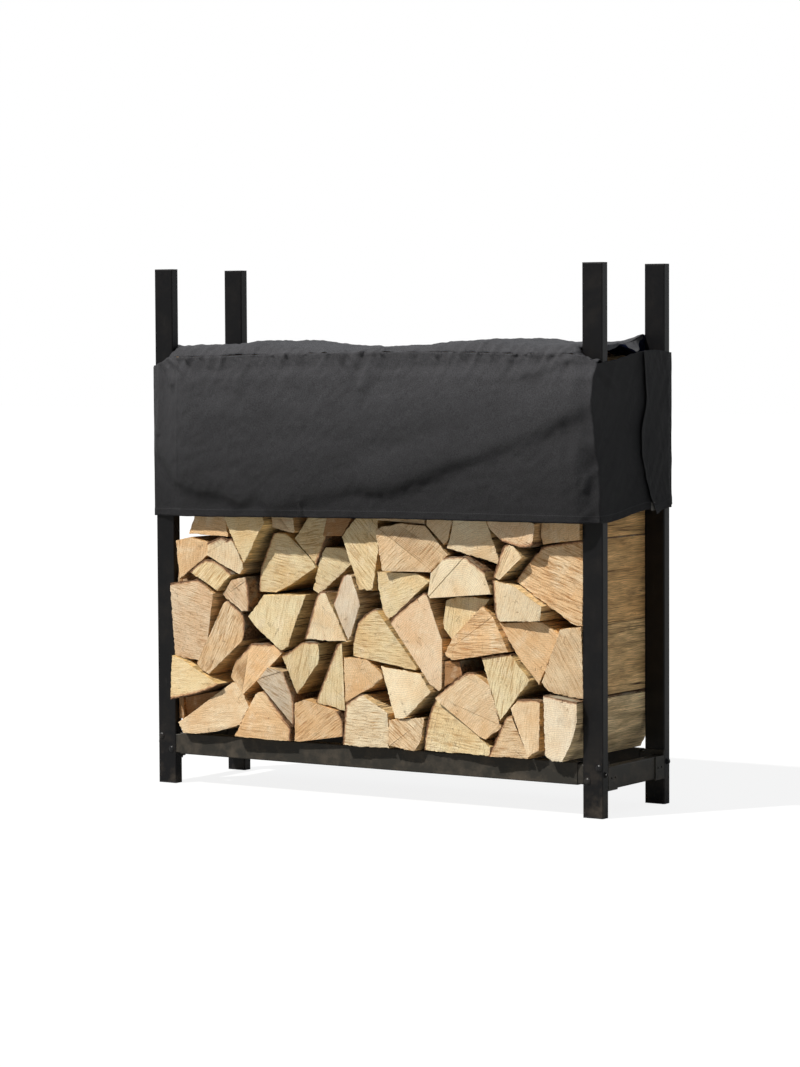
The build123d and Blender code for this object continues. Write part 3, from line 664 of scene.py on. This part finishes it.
def divide_log(log, side_step, length_step, end_step):
    """Divide a log's faces finely, its sides into a grid and its ends into rings."""
    side = log.faces.layers.int.new("side")
    for face in log.faces:
        face[side] = -1 if abs(face.normal.y) > LENGTHWISE else face.index
    lengthways = [e for e in log.edges if all(f[side] >= 0 for f in e.link_faces)]
    longest = max(e.calc_length() for e in lengthways)
    cuts = max(1, round(longest / MM / length_step) - 1)
    bmesh.ops.subdivide_edges(log, edges=lengthways, cuts=cuts)
    numbers = sorted({f[side] for f in log.faces if f[side] >= 0})
    crosswise = {}
    for number in numbers:
        edges = {e for f in log.faces if f[side] == number for e in f.edges
                 if abs((e.verts[0].co - e.verts[1].co).normalized().y) < LENGTHWISE}
        widest = max(e.calc_length() for e in edges)
        cuts = max(1, round(widest / MM / side_step)) - 1
        if cuts:
            crosswise.setdefault(cuts, []).extend(edges)
    for cuts, edges in sorted(crosswise.items()):
        bmesh.ops.subdivide_edges(log, edges=edges, cuts=cuts)
    for face in [f for f in log.faces if f[side] < 0]:
        centre = face.calc_center_median_weighted()
        reach = max((v.co - centre).length for v in face.verts)
        rings = max(2, round(reach / MM / end_step))
        for ring in range(rings, 1, -1):
            made = bmesh.ops.extrude_discrete_faces(log, faces=[face])
            face = made["faces"][0]
            for vertex in face.verts:
                vertex.co = centre + (vertex.co - centre) * ((ring - 1) / ring)
        bmesh.ops.poke(log, faces=[face])


def slope_ends(log, seed, deepest, slant):
    """Set both ends of a log back a little and off square, as a hand-held saw leaves them."""
    draw = Random(round(100 * seed))
    middle_x, middle_z = middle_of(log)
    for end in (-1, 1):
        back = draw.uniform(0.3, 1.0) * deepest
        across = draw.uniform(-slant, slant)
        up = draw.uniform(-slant, slant)
        reach = max(v.co.y * end for v in log.verts)
        for vertex in log.verts:
            share = vertex.co.y * end / reach
            if share > 0:
                shift = back + across * (vertex.co.x / MM - middle_x) + up * (vertex.co.z / MM - middle_z)
                vertex.co.y -= end * max(0.0, shift) * MM * share


def keep_under_cover(log):
    """Keep a hidden log clear of the top sheet, which hangs low at the open right end."""
    for vertex in log.verts:
        place = vertex.co / MM
        slope = along(SEAM_LINE, place.x) - 9.0 + 0.55 * (200.0 - abs(place.y))
        vertex.co.z = min(place.z, slope, along(LOW_TOP_LINE, place.x)) * MM


def push_in(log, side, seed):
    """Move the surface inwards unevenly: splinters on the sides, furrows in the bark, chips at the ends."""
    log.normal_update()
    moves = []
    for vertex in log.verts:
        walls = [f for f in vertex.link_faces if f[side] >= 0]
        ends = [f for f in vertex.link_faces if f[side] < 0]
        place = vertex.co / MM
        move = Vector((0.0, 0.0, 0.0))
        if walls:
            outward = Vector((0.0, 0.0, 0.0))
            for face in walls:
                outward += Vector((face.normal.x, 0.0, face.normal.z))
            outward.normalize()
            barked = any(f.material_index == BARKED for f in walls)
            if barked:
                furrow = lump(place.x / 11, place.y / 42 + seed, place.z / 11)
                knob = lump(place.x / 30, place.y / 60 - seed, place.z / 30)
                depth = 1.3 + 1.7 * furrow + 1.3 * knob
            else:
                wave = lump(place.x / 38, place.y / 150 + seed, place.z / 38)
                ridge = lump(place.x / 8, place.y / 110 - seed, place.z / 8)
                splinter = lump(place.x / 3.6, place.y / 48 + 2 * seed, place.z / 3.6)
                depth = 1.3 + 2.0 * wave + 1.0 * ridge + 0.5 * splinter
            depth *= eased(556.0, 470.0, abs(place.x)) * 0.85 + 0.15
            move -= outward * max(0.0, depth) * MM
        if ends:
            inward = -1.0 if ends[0].normal.y > 0 else 1.0
            chip = lump(place.x / 9, seed, place.z / 9)
            saw = lump(place.x / 45, seed + 5, place.z / 45)
            depth = 0.5 + 0.5 * saw + 0.25 * chip
            if walls:
                depth += max(0.0, 6.0 * lump(place.x / 5.5, 3 * seed, place.z / 5.5) - 0.6)
                rag = lump(place.x / 4.1, 7 * seed, place.z / 4.1)
                move -= outward * max(0.0, 0.3 + 2.8 * rag) * MM
            move.y += inward * max(0.0, depth) * MM
        moves.append((vertex, move))
    for vertex, move in moves:
        vertex.co += move


def finish_log(log, traits, seed, steps, visible):
    """One log, divided, roughened and marked with what its materials read."""
    centre_x, centre_z, tone, slope, strength, facing, heart = traits
    planes = bark_planes(log, facing)
    barked = {index for index, centre, normal in planes}
    for face in log.faces:
        if abs(face.normal.y) > LENGTHWISE:
            face.material_index = SAWN
        else:
            face.material_index = BARKED if face.index in barked else SPLIT
    divide_log(log, *steps)
    side = log.faces.layers.int["side"]
    tones = log.verts.layers.float_color.new("tone")
    hearts = log.verts.layers.float_vector.new("heart")
    sawings = log.verts.layers.float_vector.new("sawing")
    depths = log.verts.layers.float.new("bark_depth")
    turn = math.radians(slope)
    for vertex in log.verts:
        vertex[tones] = tone
        vertex[hearts] = ((centre_x + heart[0]) * MM, 0.37 * seed, (centre_z + heart[1]) * MM)
        vertex[sawings] = (math.cos(turn), strength, math.sin(turn))
        nearest = min([(centre - vertex.co).dot(normal) for index, centre, normal in planes], default=1.0)
        vertex[depths] = nearest / MM
    if visible:
        slope_ends(log, seed, VISIBLE_SET_BACK, VISIBLE_SLOPE)
    else:
        slope_ends(log, seed, HIDDEN_SET_BACK, 0.0)
        keep_under_cover(log)
    push_in(log, side, seed)
    log.normal_update()
    smooth_below(log, 32)


def log_course(name, materials):
    """All the logs of one course, as one piece in place of its CAD node."""
    visible = name in LOGS
    steps = VISIBLE_STEPS if visible else HIDDEN_STEPS
    number = int(name.split("_")[-1])
    logs = separate_solids(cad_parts[name])
    for index, log in enumerate(logs):
        log.normal_update()
        log.faces.index_update()
        middle = centre_of_end(log)
        if visible:
            traits = min(LOGS[name], key=lambda t: math.dist(t[:2], middle))
        else:
            tone = HIDDEN_TONES[(5 * number + index) % len(HIDDEN_TONES)]
            facing = 90 if index % 2 else -90
            traits = (*middle, tone, 25 * index, 0.6, facing, (0, -facing))
        finish_log(log, traits, number + 0.37 * index, steps, visible)
    piece = place_piece(f"split_{name}", joined(logs), materials)
    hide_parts(name)


# Sticks pushed into the gaps between courses: corners across and up, and their two ends (mm)
FIRST_STICK_SEED = 30
STICKS = [
    ([(-546, 466), (-452, 470), (-448, 493), (-542, 498)], -150, 140),
    ([(-549, 152), (-536, 150), (-535, 216), (-548, 218)], -141, 140),
    ([(452, 594), (544, 594), (544, 606), (452, 605)], -60, 146),
    ([(452, 408), (544, 408), (544, 420), (452, 420)], -60, 146),
]


def gap_stick(outline, front, back):
    """Thin split stick as a bmesh in metres."""
    stick = bmesh.new()
    face = stick.faces.new([stick.verts.new((x * MM, front * MM, z * MM)) for x, z in outline])
    made = bmesh.ops.extrude_face_region(stick, geom=[face])
    moved = [part for part in made["geom"] if isinstance(part, bmesh.types.BMVert)]
    bmesh.ops.translate(stick, vec=(0.0, (back - front) * MM, 0.0), verts=moved)
    bmesh.ops.recalc_face_normals(stick, faces=stick.faces)
    return stick


def gap_sticks(materials):
    """The thin sticks that lie in the wider gaps, as one piece."""
    sticks = [gap_stick(*stick) for stick in STICKS]
    for index, stick in enumerate(sticks):
        stick.normal_update()
        stick.faces.index_update()
        # The sticks take the dark brown tone, painted shade for the shaded gaps they fill.
        traits = (*middle_of(stick), SHADE_BROWN, 0, 0.3, 90, (0, -90))
        finish_log(stick, traits, FIRST_STICK_SEED + index, VISIBLE_STEPS, True)
    place_piece("gap_sticks", joined(sticks), materials)


# Fabric cover

# Long soft folds of the front panel: points along the ridge (mm across and up), how far the ridge
# stands out, and how wide it falls off above and below it
FRONT_FOLDS = [
    ([(660, 930), (587, 900), (400, 824), (256, 778), (158, 740), (60, 712)], 8.5, 70.0, 23.0),
    ([(230, 795), (152, 755), (42, 726), (-79, 704), (-227, 668)], 6.5, 36.0, 24.0),
    ([(330, 905), (139, 857), (-29, 808), (-128, 746), (-200, 706)], 4.5, 80.0, 32.0),
    ([(-600, 800), (-560, 766), (-510, 712), (-450, 696), (-379, 690), (-320, 674)], 6.0, 48.0, 17.0),
    ([(-600, 905), (-520, 790), (-380, 745), (-200, 765)], 3.0, 60.0, 50.0),
    ([(-330, 1000), (-318, 960), (-322, 930)], 3.5, 16.0, 16.0),
    ([(24, 1000), (30, 960), (20, 935)], 3.0, 14.0, 14.0),
    ([(-585, 985), (-580, 950), (-578, 900), (-582, 820)], 2.6, 8.0, 8.0),
    ([(-575, 990), (-548, 968), (-530, 935)], 4.0, 9.0, 9.0),
    ([(-560, 996), (-520, 984), (-486, 962)], 3.0, 8.0, 8.0),
    ([(-598, 960), (-592, 905)], 2.4, 5.0, 5.0),
    ([(560, 1004), (500, 975), (440, 962)], 3.0, 16.0, 10.0),
    ([(604, 760), (580, 738), (574, 716)], 4.0, 7.0, 7.0),
    ([(604, 690), (588, 668), (570, 655)], 3.0, 8.0, 8.0),
    ([(-153, 672), (-153, 645)], 2.6, 5.0, 5.0),
]


def distance_to_line(line, x, z):
    """Distance from a point to a line of points, and how far it lies above it, from 0 to 1."""
    best = 1e9
    above = 1.0
    for (ax, az), (bx, bz) in zip(line, line[1:]):
        dx = bx - ax
        dz = bz - az
        share = min(1.0, max(0.0, ((x - ax) * dx + (z - az) * dz) / (dx * dx + dz * dz)))
        px = ax + share * dx
        pz = az + share * dz
        away = math.dist((x, z), (px, pz))
        if away < best:
            best = away
            above = eased(-1.0, 1.0, (z - pz) / max(away, 1.0))
    return best, above


def fold_height(x, z):
    """How far the folds of the front panel stand out at a place."""
    height = 0.0
    for line, ridge, above_width, below_width in FRONT_FOLDS:
        away, above = distance_to_line(line, x, z)
        width = below_width + above * (above_width - below_width)
        if away < 3 * width:
            height += ridge * math.exp(-(away / width) ** 2)
    return height


PUCKER_HEIGHT = 12.0
PUCKER_FALL = 24.0
HEM_WIDTH = 17.0


def pucker(x, below_seam, seed):
    """Small gathers that hang from a seam."""
    gather = ripple(x + 0.5 * below_seam, 0.0, seed, 17.0, 1.0)
    gather += 0.8 * ripple(x - 0.7 * below_seam, below_seam, seed + 3, 11.0, 60.0)
    return PUCKER_HEIGHT * gather * math.exp(-max(0.0, below_seam) / PUCKER_FALL)


def hem_step(above_hem):
    """The turned-up hem is two cloths thick."""
    return CLOTH_THICKNESS * (1.0 - eased(HEM_WIDTH, HEM_WIDTH + 2.5, above_hem))


def hem_height(x, y):
    return along(HEM_LINE, x) + HEM_RISE_BACK * eased(-150.0, 60.0, y)


def least_stand_off(x, panel):
    """How far the log ends reach out in front of (-1) or behind (1) the posts."""
    left = along(HUGGING_END, COVER_HALF + x, curved=False)
    right = along(CLEAR_END if panel < 0 else HUGGING_END, COVER_HALF - x, curved=False)
    return min(left, right)


def panel_place(x, share, panel, seed):
    """Place on the front (-1) or back (1) panel, share 0 at the hem and 1 at the seam."""
    hem = hem_height(x, panel * 180.0)
    if panel < 0:
        seam = along(SEAM_LINE, x)
    else:
        seam = along(SEAM_LINE, -abs(x)) + BACK_CORNER_RISE * eased(540.0, 600.0, abs(x))
    z = hem + share * (seam - hem)
    least = least_stand_off(x, panel)
    free = eased(1.0, 34.0, least)
    apart = COVER_HALF - abs(x) if panel > 0 else COVER_HALF + x
    least += max(0.0, along([(0, 0.3), (140, 38)], apart) - least) * eased(0.05, 0.4, share)
    swell = along(FRONT_BULGE, share)
    waves = 4.0 * ripple(x, z, seed, 170.0, 130.0) + 3.0 * ripple(x, z, seed + 9, 66.0, 50.0)
    waves += 1.5 * ripple(x + z, z - x, seed + 4, 34.0, 22.0)
    if panel > 0:
        waves += 6.0 * ripple(x + 1.2 * z, z, seed + 2, 90.0, 240.0)
    folds = 1.75 * fold_height(x, z) * eased(0.0, 16.0, apart) if panel < 0 else 0.0
    out = least + 1.8 + 0.6 * free + swell * free + waves * (0.15 + 0.85 * free) + folds
    out = max(out, least + 0.9 + 0.4 * ripple(x, z, seed + 6, 12.0, 12.0)) + hem_step(z - hem)
    out += max(0.0, 1.0 + pucker(x, seam - z, seed)) * (0.2 + 0.8 * free)
    if out > STAND_OFF_KNEE:
        room = FURTHEST_STAND_OFF - STAND_OFF_KNEE
        out = STAND_OFF_KNEE + room * (1.0 - math.exp((STAND_OFF_KNEE - out) / room))
    if panel < 0:
        near_corner = eased(553.0, 602.0, x)
        fold = 0.45 * fold_height(x, z) + 1.2 * ripple(x, z, seed + 8, 30.0, 26.0)
        out += near_corner * (along(RIGHT_CORNER, z) + fold - out)
    out += 0.7 * ripple(x, 0.0, seed + 7, 13.0, 1.0) * math.exp(-(z - hem) / 12.0)
    z += 0.9 * ripple(x, 0.0, seed + 5, 40.0, 1.0) * (1.0 - share)
    return Vector((x, panel * (RACK_HALF_DEPTH + max(out, 1.0)), z))


def cloth_piece(name, node, grid, place, materials, flat, keep=None):
    """Sheet of cloth in place of a CAD node: a grid whose points are carried to their places (mm).

    flat is the width and height of its flat pattern (m).
    """
    across, up = grid
    cloth = bmesh.new()
    pattern = cloth.loops.layers.uv.new("flat_cut")
    bmesh.ops.create_grid(cloth, x_segments=across, y_segments=up, size=0.5)
    for face in cloth.faces:
        face.smooth = True
        for loop in face.loops:
            loop[pattern].uv = ((loop.vert.co.x + 0.5) * flat[0], (loop.vert.co.y + 0.5) * flat[1])
    for vertex in cloth.verts:
        vertex.co = place(vertex.co.x + 0.5, vertex.co.y + 0.5)
    if keep:
        gone = [f for f in cloth.faces if not keep(f.calc_center_median())]
        bmesh.ops.delete(cloth, geom=gone, context="FACES")
    bmesh.ops.scale(cloth, vec=(MM, MM, MM), verts=cloth.verts)
    piece = place_piece(name, cloth, materials)
    thicken = piece.modifiers.new("cloth_thickness", "SOLIDIFY")
    thicken.thickness = CLOTH_THICKNESS * MM
    thicken.offset = 0.0
    thicken.material_offset = len(materials) - 1
    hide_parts(node)


def front_place(u, v):
    """Place on the front panel: u from left to right, v from the hem to the seam."""
    return panel_place((2 * u - 1) * COVER_HALF, v, -1, FRONT_SEED)


def back_place(u, v):
    """Place on the back panel: u from right to left, v from the hem to the seam."""
    return panel_place((1 - 2 * u) * COVER_HALF, v, 1, BACK_SEED)


# Rows of the top sheet from front to back, and its columns from left to right, so that its post
# openings end on a row and a column: (share, place)
OPENING_SIDE = 545.0
TOP_COLUMNS = [(0.0, -602.0), (0.05, -OPENING_SIDE), (0.95, OPENING_SIDE), (1.0, 602.0)]
OPENING_FRONT = 151.0
OPENING_BACK = 121.0
TOP_SHARES = (0.09, 0.18, 0.82, 0.91)

# How far the front corner sinks beside the right post, and where the back corner stands up against it
# like a tent
CORNER_DROP = 34.0
TENT_PLACE = (566.0, 136.0)
TENT_RADIUS = 50.0
TENT_HEIGHT = 28.0


def top_place(u, v):
    """Place on the top sheet: u from left to right, v from the front seam to the back one."""
    x = along(TOP_COLUMNS, u, curved=False)
    front = panel_place(x, 1.0, -1, FRONT_SEED)
    back = panel_place(x, 1.0, 1, BACK_SEED)
    rows = [(0.0, front.y), (TOP_SHARES[0], -OPENING_FRONT), (TOP_SHARES[1], -OPENING_BACK),
            (TOP_SHARES[2], OPENING_BACK), (TOP_SHARES[3], OPENING_FRONT), (1.0, back.y)]
    y = along(rows, v, curved=False)
    share = (y - front.y) / (back.y - front.y)
    edge = abs(2 * share - 1)
    rise = 1.0 - edge ** 8
    seam = front.z + share * (back.z - front.z)
    crown = along(CROWN_LINE, x)
    lumps = 3.6 * lump(x / 95, y / 320, 3.1) + 2.2 * lump(x / 38, y / 90, 8.2)
    creases = 2.8 * lump((x + 0.9 * y) / 17, (y - 0.9 * x) / 60, 1.7)
    z = seam + (crown - seam) * rise + max(-3.5, lumps) * rise + creases * (0.35 + 0.65 * rise)
    near_shoulder = eased(60.0, 10.0, abs(y - front.y))
    z += 4.2 * near_shoulder * lump((x + 1.3 * y) / 15, (y - x) / 44, 4.4)
    z -= CORNER_DROP * eased(528.0, 578.0, x) * eased(-112.0, -150.0, y) * rise
    outer = eased(552.0, 602.0, abs(x)) * eased(135.0, 110.0, abs(y))
    z += outer * (along(TOP_END_LINE, y) - crown)
    if x > BAY_HALF:
        x = BAY_HALF - 3.0 + (x - BAY_HALF) * (1.0 - 0.96 * eased(0.0, 116.0, y))
    away = math.dist((x, y), TENT_PLACE) / TENT_RADIUS
    z += TENT_HEIGHT * math.exp(-away * away)
    return Vector((x, y, z))


# Height of the free right and left edges of the top sheet between the posts, front to back
TOP_END_LINE = [(-150, 1018), (-115, 1012), (-56, 1025), (-25, 1015), (6, 1008), (60, 1014), (150, 1018)]


def clear_of_posts(place):
    """Whether the top sheet has cloth there: its corners are open for the posts."""
    if abs(place.x) < OPENING_SIDE or abs(place.y) < OPENING_BACK:
        return True
    return place.x > 0 and place.y < -OPENING_FRONT


# Height of the top edge of an end panel, from front to back
END_TOP_LINE = [(-200, 983), (-165, 984), (-136, 987), (-99, 991), (-56, 997), (-25, 1003), (24, 1008),
                (78, 1009), (155, 1003)]


def left_drop(side):
    """The left end panel hangs a little lower than the right one."""
    return 9.0 if side < 0 else 0.0


def end_place(side, u, v):
    """Place on an end panel: u from left to right as seen from that end, v from the hem up."""
    u = u if side > 0 else 1 - u
    x = side * COVER_HALF
    front = panel_place(x, v, -1, FRONT_SEED)
    back = panel_place(x, v, 1, BACK_SEED)
    y = front.y + u * (back.y - front.y)
    hem = hem_height(x, y)
    z = hem + v * (along(END_TOP_LINE, y) - left_drop(side) - hem)
    inside = 1.0 - abs(2 * u - 1) ** 8
    out = 1.2 * ripple(y, z, 3.3 + side, 60.0, 90.0) + 1.0 * ripple(y - 0.6 * z, z, 5.1, 24.0, 80.0)
    out += 2.4 * ripple(y + 1.5 * z, 0.0, 6.3, 46.0, 1.0) * eased(880.0, 960.0, z)
    out = 1.0 + inside * (0.7 + 1.2 * out) + hem_step(z - hem)
    return Vector((side * (RACK_HALF + 0.7 + max(0.1, out)), y, z))


# Free edge of a flap: how far back it lies at a height; its foot: how high it lies at a depth
FLAP_EDGE = [(600, 74), (654, 72), (675, 50), (698, 27), (751, 10), (801, 9), (892, 31), (935, 27),
             (978, 22), (1010, 23)]
FLAP_FOOT = [(10, 700), (27, 690), (50, 664), (72, 650), (84, 650), (110, 658), (160, 668)]
FLAP_SPAN = (650.0, 1006.0)
FLAP_CORNER_Y = 153.5


def flap_place(side, u, v):
    """Place on the flap that comes round a back post, u and v as on the end panel."""
    u = u if side > 0 else 1 - u
    edge = along(FLAP_EDGE, FLAP_SPAN[0] + v * (FLAP_SPAN[1] - left_drop(side) - FLAP_SPAN[0]))
    y = edge + u * (FLAP_CORNER_Y - edge)
    low = along(FLAP_FOOT, y)
    z = low + v * (along(END_TOP_LINE, y) - left_drop(side) + 1.5 - low)
    lift = 4.5 * math.exp(-((y - edge) / 9.0) ** 2) + 0.9 * ripple(y, z, 9.4, 30.0, 70.0)
    lift += 1.2 * ripple(y - 0.5 * z, z, 2.2, 18.0, 90.0) + 0.8 * ripple(y + 0.4 * z, z, 4.2, 12.0, 60.0)
    out = 4.4 + 0.8 * max(-1.0, lift) - 2.2 * eased(0.86, 1.0, u) + hem_step(z - low)
    return Vector((side * (RACK_HALF + out), y, z))


# Bolts: where the two heads sit on a post's broad face, across and up, how high the nut sits on its
# outer side, and the washer under it (mm)
HEAD_PLACES = [(590.5, 110.0), (562.0, 80.0)]
NUT_HEIGHT = 95.0
WASHER_THICKNESS = 1.5
NUT_RADIUS = 5.77
NUT_THICKNESS = 3.6

# Profiles of the turned parts, as (radius, height) in mm, and how many steps go round each
DOMED_HEAD = [(0, 4.0), (2.2, 3.9), (4.4, 3.4), (6.2, 2.4), (7.5, 1.1), (8.0, 0.3), (8.0, 0.0), (0, 0)], 20
WASHER = [(3.2, 0.0), (7.0, 0.0), (7.0, 1.2), (6.7, WASHER_THICKNESS), (3.2, WASHER_THICKNESS)], 24
BOLT_END = [(0, 6.4), (2.3, 6.4), (3.0, 5.8), (3.0, 0.0), (0, 0)], 14


def turned(profile, matrix):
    """Solid of revolution of a profile about its own z, as a bmesh in millimetres."""
    points, turns = profile
    part = bmesh.new()
    previous = None
    edges = []
    for radius, height in points:
        vertex = part.verts.new((radius, 0.0, height))
        if previous:
            edges.append(part.edges.new((previous, vertex)))
        previous = vertex
    bmesh.ops.spin(part, geom=part.verts[:] + edges, cent=(0, 0, 0), axis=(0, 0, 1), angle=2 * math.pi,
                   steps=turns, use_merge=True)
    bmesh.ops.remove_doubles(part, verts=part.verts, dist=1e-4)
    bmesh.ops.recalc_face_normals(part, faces=part.faces)
    bmesh.ops.transform(part, matrix=matrix, verts=part.verts)
    return part


def hex_nut(matrix):
    nut = bmesh.new()
    middle = Matrix.Translation((0, 0, WASHER_THICKNESS + NUT_THICKNESS / 2))
    bmesh.ops.create_cone(nut, cap_ends=True, segments=6, radius1=NUT_RADIUS, radius2=NUT_RADIUS,
                          depth=NUT_THICKNESS, matrix=middle)
    rims = [e for e in nut.edges if abs(e.verts[0].co.z - e.verts[1].co.z) < 0.1]
    bmesh.ops.bevel(nut, geom=rims, affect="EDGES", offset=0.5, segments=1, profile=0.5, material=-1)
    bmesh.ops.transform(nut, matrix=matrix, verts=nut.verts)
    return nut


def bolt_piece(name, parts, material):
    """Parts in millimetres as one smoothed piece in metres."""
    whole = joined(parts)
    bmesh.ops.scale(whole, vec=(MM, MM, MM), verts=whole.verts)
    smooth_below(whole, 30)
    place_piece(name, whole, [material])


def facing_out(x, y, z, outward):
    """Matrix that stands a part on a face at a place, pointing outwards."""
    turn = Vector((0, 0, 1)).rotation_difference(Vector(outward)).to_matrix().to_4x4()
    return Matrix.Translation((x, y, z)) @ turn


def post_bolts(material):
    """Two domed bolts through each post's broad faces, and a nut and washer on its outer side."""
    heads = []
    nuts = []
    for side in (-1, 1):
        for end in (-1, 1):
            outward = (0.0, float(end), 0.0)
            for x, z in HEAD_PLACES:
                heads.append(turned(DOMED_HEAD, facing_out(side * x, end * RACK_HALF_DEPTH, z, outward)))
            stand = facing_out(side * RACK_HALF, end * POST_MIDDLE_Y, NUT_HEIGHT, (float(side), 0.0, 0.0))
            nuts += [turned(WASHER, stand), hex_nut(stand), turned(BOLT_END, stand)]
    bolt_piece("carriage_bolt_heads", heads, material)
    bolt_piece("side_nuts_and_washers", nuts, material)


# Rack


def repaint(name, material):
    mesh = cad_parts[name].data
    mesh.materials.clear()
    mesh.materials.append(material)


def paint_rack():
    steel = steel_material("black_powder_coat", paint(17, 17, 19), 0.34)
    # The rails wear a paler copy of the powder coat, with more of its dust.
    paler_rail_coat = steel_material("paler_rail_powder_coat", paint(47, 45, 41), 0.42, 0.6)
    plug = plug_material()
    strip = fastener_strip_material()
    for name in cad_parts:
        if name.startswith(("post_front", "post_back")):
            repaint(name, steel)
        elif name.startswith(("rail_", "end_rail", "saddle")):
            repaint(name, paler_rail_coat)
        elif name.startswith("post_"):
            repaint(name, plug)
    repaint("cover_patches", strip)


def build_logs():
    materials = [sawn_end_material(), split_side_material(), bark_material()]
    for name in sorted(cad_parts):
        if name.startswith("logs_course"):
            log_course(name, materials)
    gap_sticks(materials)


def build_cover():
    # The second colour is paler: partly sun fade, partly painted light on the upper cover.
    cloth = cloth_material("black_cover_cloth", paint(42, 42, 44), paint(72, 72, 75))
    # Painted shade: the end panels and flaps wear a darker copy of the same cloth, which pales little
    # upwards.
    shaded_end_cloth = cloth_material("cover_cloth_painted_shade", paint(34, 34, 36), paint(44, 44, 46))
    lining = cloth_material("navy_cover_lining", paint(26, 36, 72), paint(36, 46, 84))
    cloth_piece("cover_front_panel", "cover_front", (260, 92), front_place, [cloth], (1.215, 0.385))
    cloth_piece("cover_back_panel", "cover_back", (260, 92), back_place, [cloth], (1.215, 0.36))
    cloth_piece("cover_top_sheet", "cover_top", (240, 100), top_place, [cloth, lining], (1.206, 0.40),
                keep=clear_of_posts)
    for side, name in ((-1, "left"), (1, "right")):
        cloth_piece(f"cover_end_panel_{name}", f"cover_end_{name}", (80, 84), partial(end_place, side),
                    [shaded_end_cloth], (0.33, 0.365))
        cloth_piece(f"cover_back_flap_{name}", f"cover_flap_{name}", (40, 92), partial(flap_place, side),
                    [shaded_end_cloth], (0.135, 0.355))


# Studio

WHITE_LIGHT = (1.0, 1.0, 1.0, 1.0)


def studio_floor():
    """White floor that keeps the object's shadow but stays pale where the camera sees it."""
    ground = bmesh.new()
    bmesh.ops.create_grid(ground, x_segments=2, y_segments=2, size=30.0)
    mesh = bpy.data.meshes.new("studio_floor")
    ground.to_mesh(mesh)
    ground.free()
    material = bpy.data.materials.new("white_studio_floor")
    material.use_nodes = True
    material.node_tree.nodes.clear()
    tree = Nodes(material.node_tree)
    seen = tree.add("ShaderNodeLightPath")["Is Camera Ray"]
    pale = tree.mix(seen, (0.34, 0.34, 0.33, 1.0), (0.80, 0.80, 0.80, 1.0))
    matt = tree.add("ShaderNodeBsdfDiffuse", {"Color": pale})[0]
    glow = tree.add("ShaderNodeEmission", {"Color": WHITE_LIGHT, "Strength": 1.0})[0]
    both = tree.add("ShaderNodeMixShader", {0: tree.times(seen, 0.86), 1: matt, 2: glow})[0]
    tree.feed(material.node_tree.nodes.new("ShaderNodeOutputMaterial").inputs[0], both)
    mesh.materials.append(material)
    new_object("studio_floor", mesh)


def studio_light():
    """A clear key light from the upper front left, a pale backdrop behind and a darker room in front."""
    world = bpy.data.worlds.new("pale_studio")
    bpy.context.scene.world = world
    world.use_nodes = True
    world.node_tree.nodes.clear()
    tree = Nodes(world.node_tree)
    x, y, z = tree.split(tree.add("ShaderNodeTexCoord")["Generated"])
    level = tree.plus(tree.ramp(y, -0.2, 0.85, 0.14, 0.58), tree.ramp(z, 0.0, 1.0, 0.0, 0.26))
    even = tree.add("ShaderNodeBackground", {"Color": (0.92, 0.96, 1.0, 1.0), "Strength": level})[0]
    white = tree.add("ShaderNodeBackground", {"Color": WHITE_LIGHT, "Strength": 1.0})[0]
    seen = tree.add("ShaderNodeLightPath")["Is Camera Ray"]
    both = tree.add("ShaderNodeMixShader", {0: seen, 1: even, 2: white})[0]
    tree.feed(world.node_tree.nodes.new("ShaderNodeOutputWorld").inputs[0], both)
    sun = bpy.data.lights.new("key_light", "SUN")
    sun.energy = 4.9
    sun.angle = math.radians(1.6)
    sun.color = (1.0, 0.97, 0.92)
    travel = Vector((0.62, 1.0, -1.5))
    new_object("key_light", sun).rotation_euler = travel.to_track_quat("-Z", "Y").to_euler()


def studio_camera():
    """Camera at the photographed viewpoint."""
    place = Matrix.Translation((4.2957, -6.5834, 1.0627))
    yaw = Matrix.Rotation(math.radians(33.235), 4, "Z")
    pitch = Matrix.Rotation(math.radians(90.0 - 3.417), 4, "X")
    roll = Matrix.Rotation(math.radians(-0.293), 4, "Z")
    data = bpy.data.cameras.new("viewpoint")
    data.sensor_fit = "VERTICAL"
    data.sensor_height = 36.0
    data.lens = 116.53
    data.clip_start = 0.1
    data.clip_end = 100.0
    camera = new_object("viewpoint", data)
    camera.matrix_world = place @ yaw @ pitch @ roll
    bpy.context.scene.camera = camera


studio_camera()
studio_light()
studio_floor()
paint_rack()
post_bolts(steel_material("black_bolt_finish", paint(30, 30, 32), 0.28))
build_logs()
build_cover()

bpy.context.scene.view_settings.view_transform = "Standard"

bpy.context.view_layer.update()
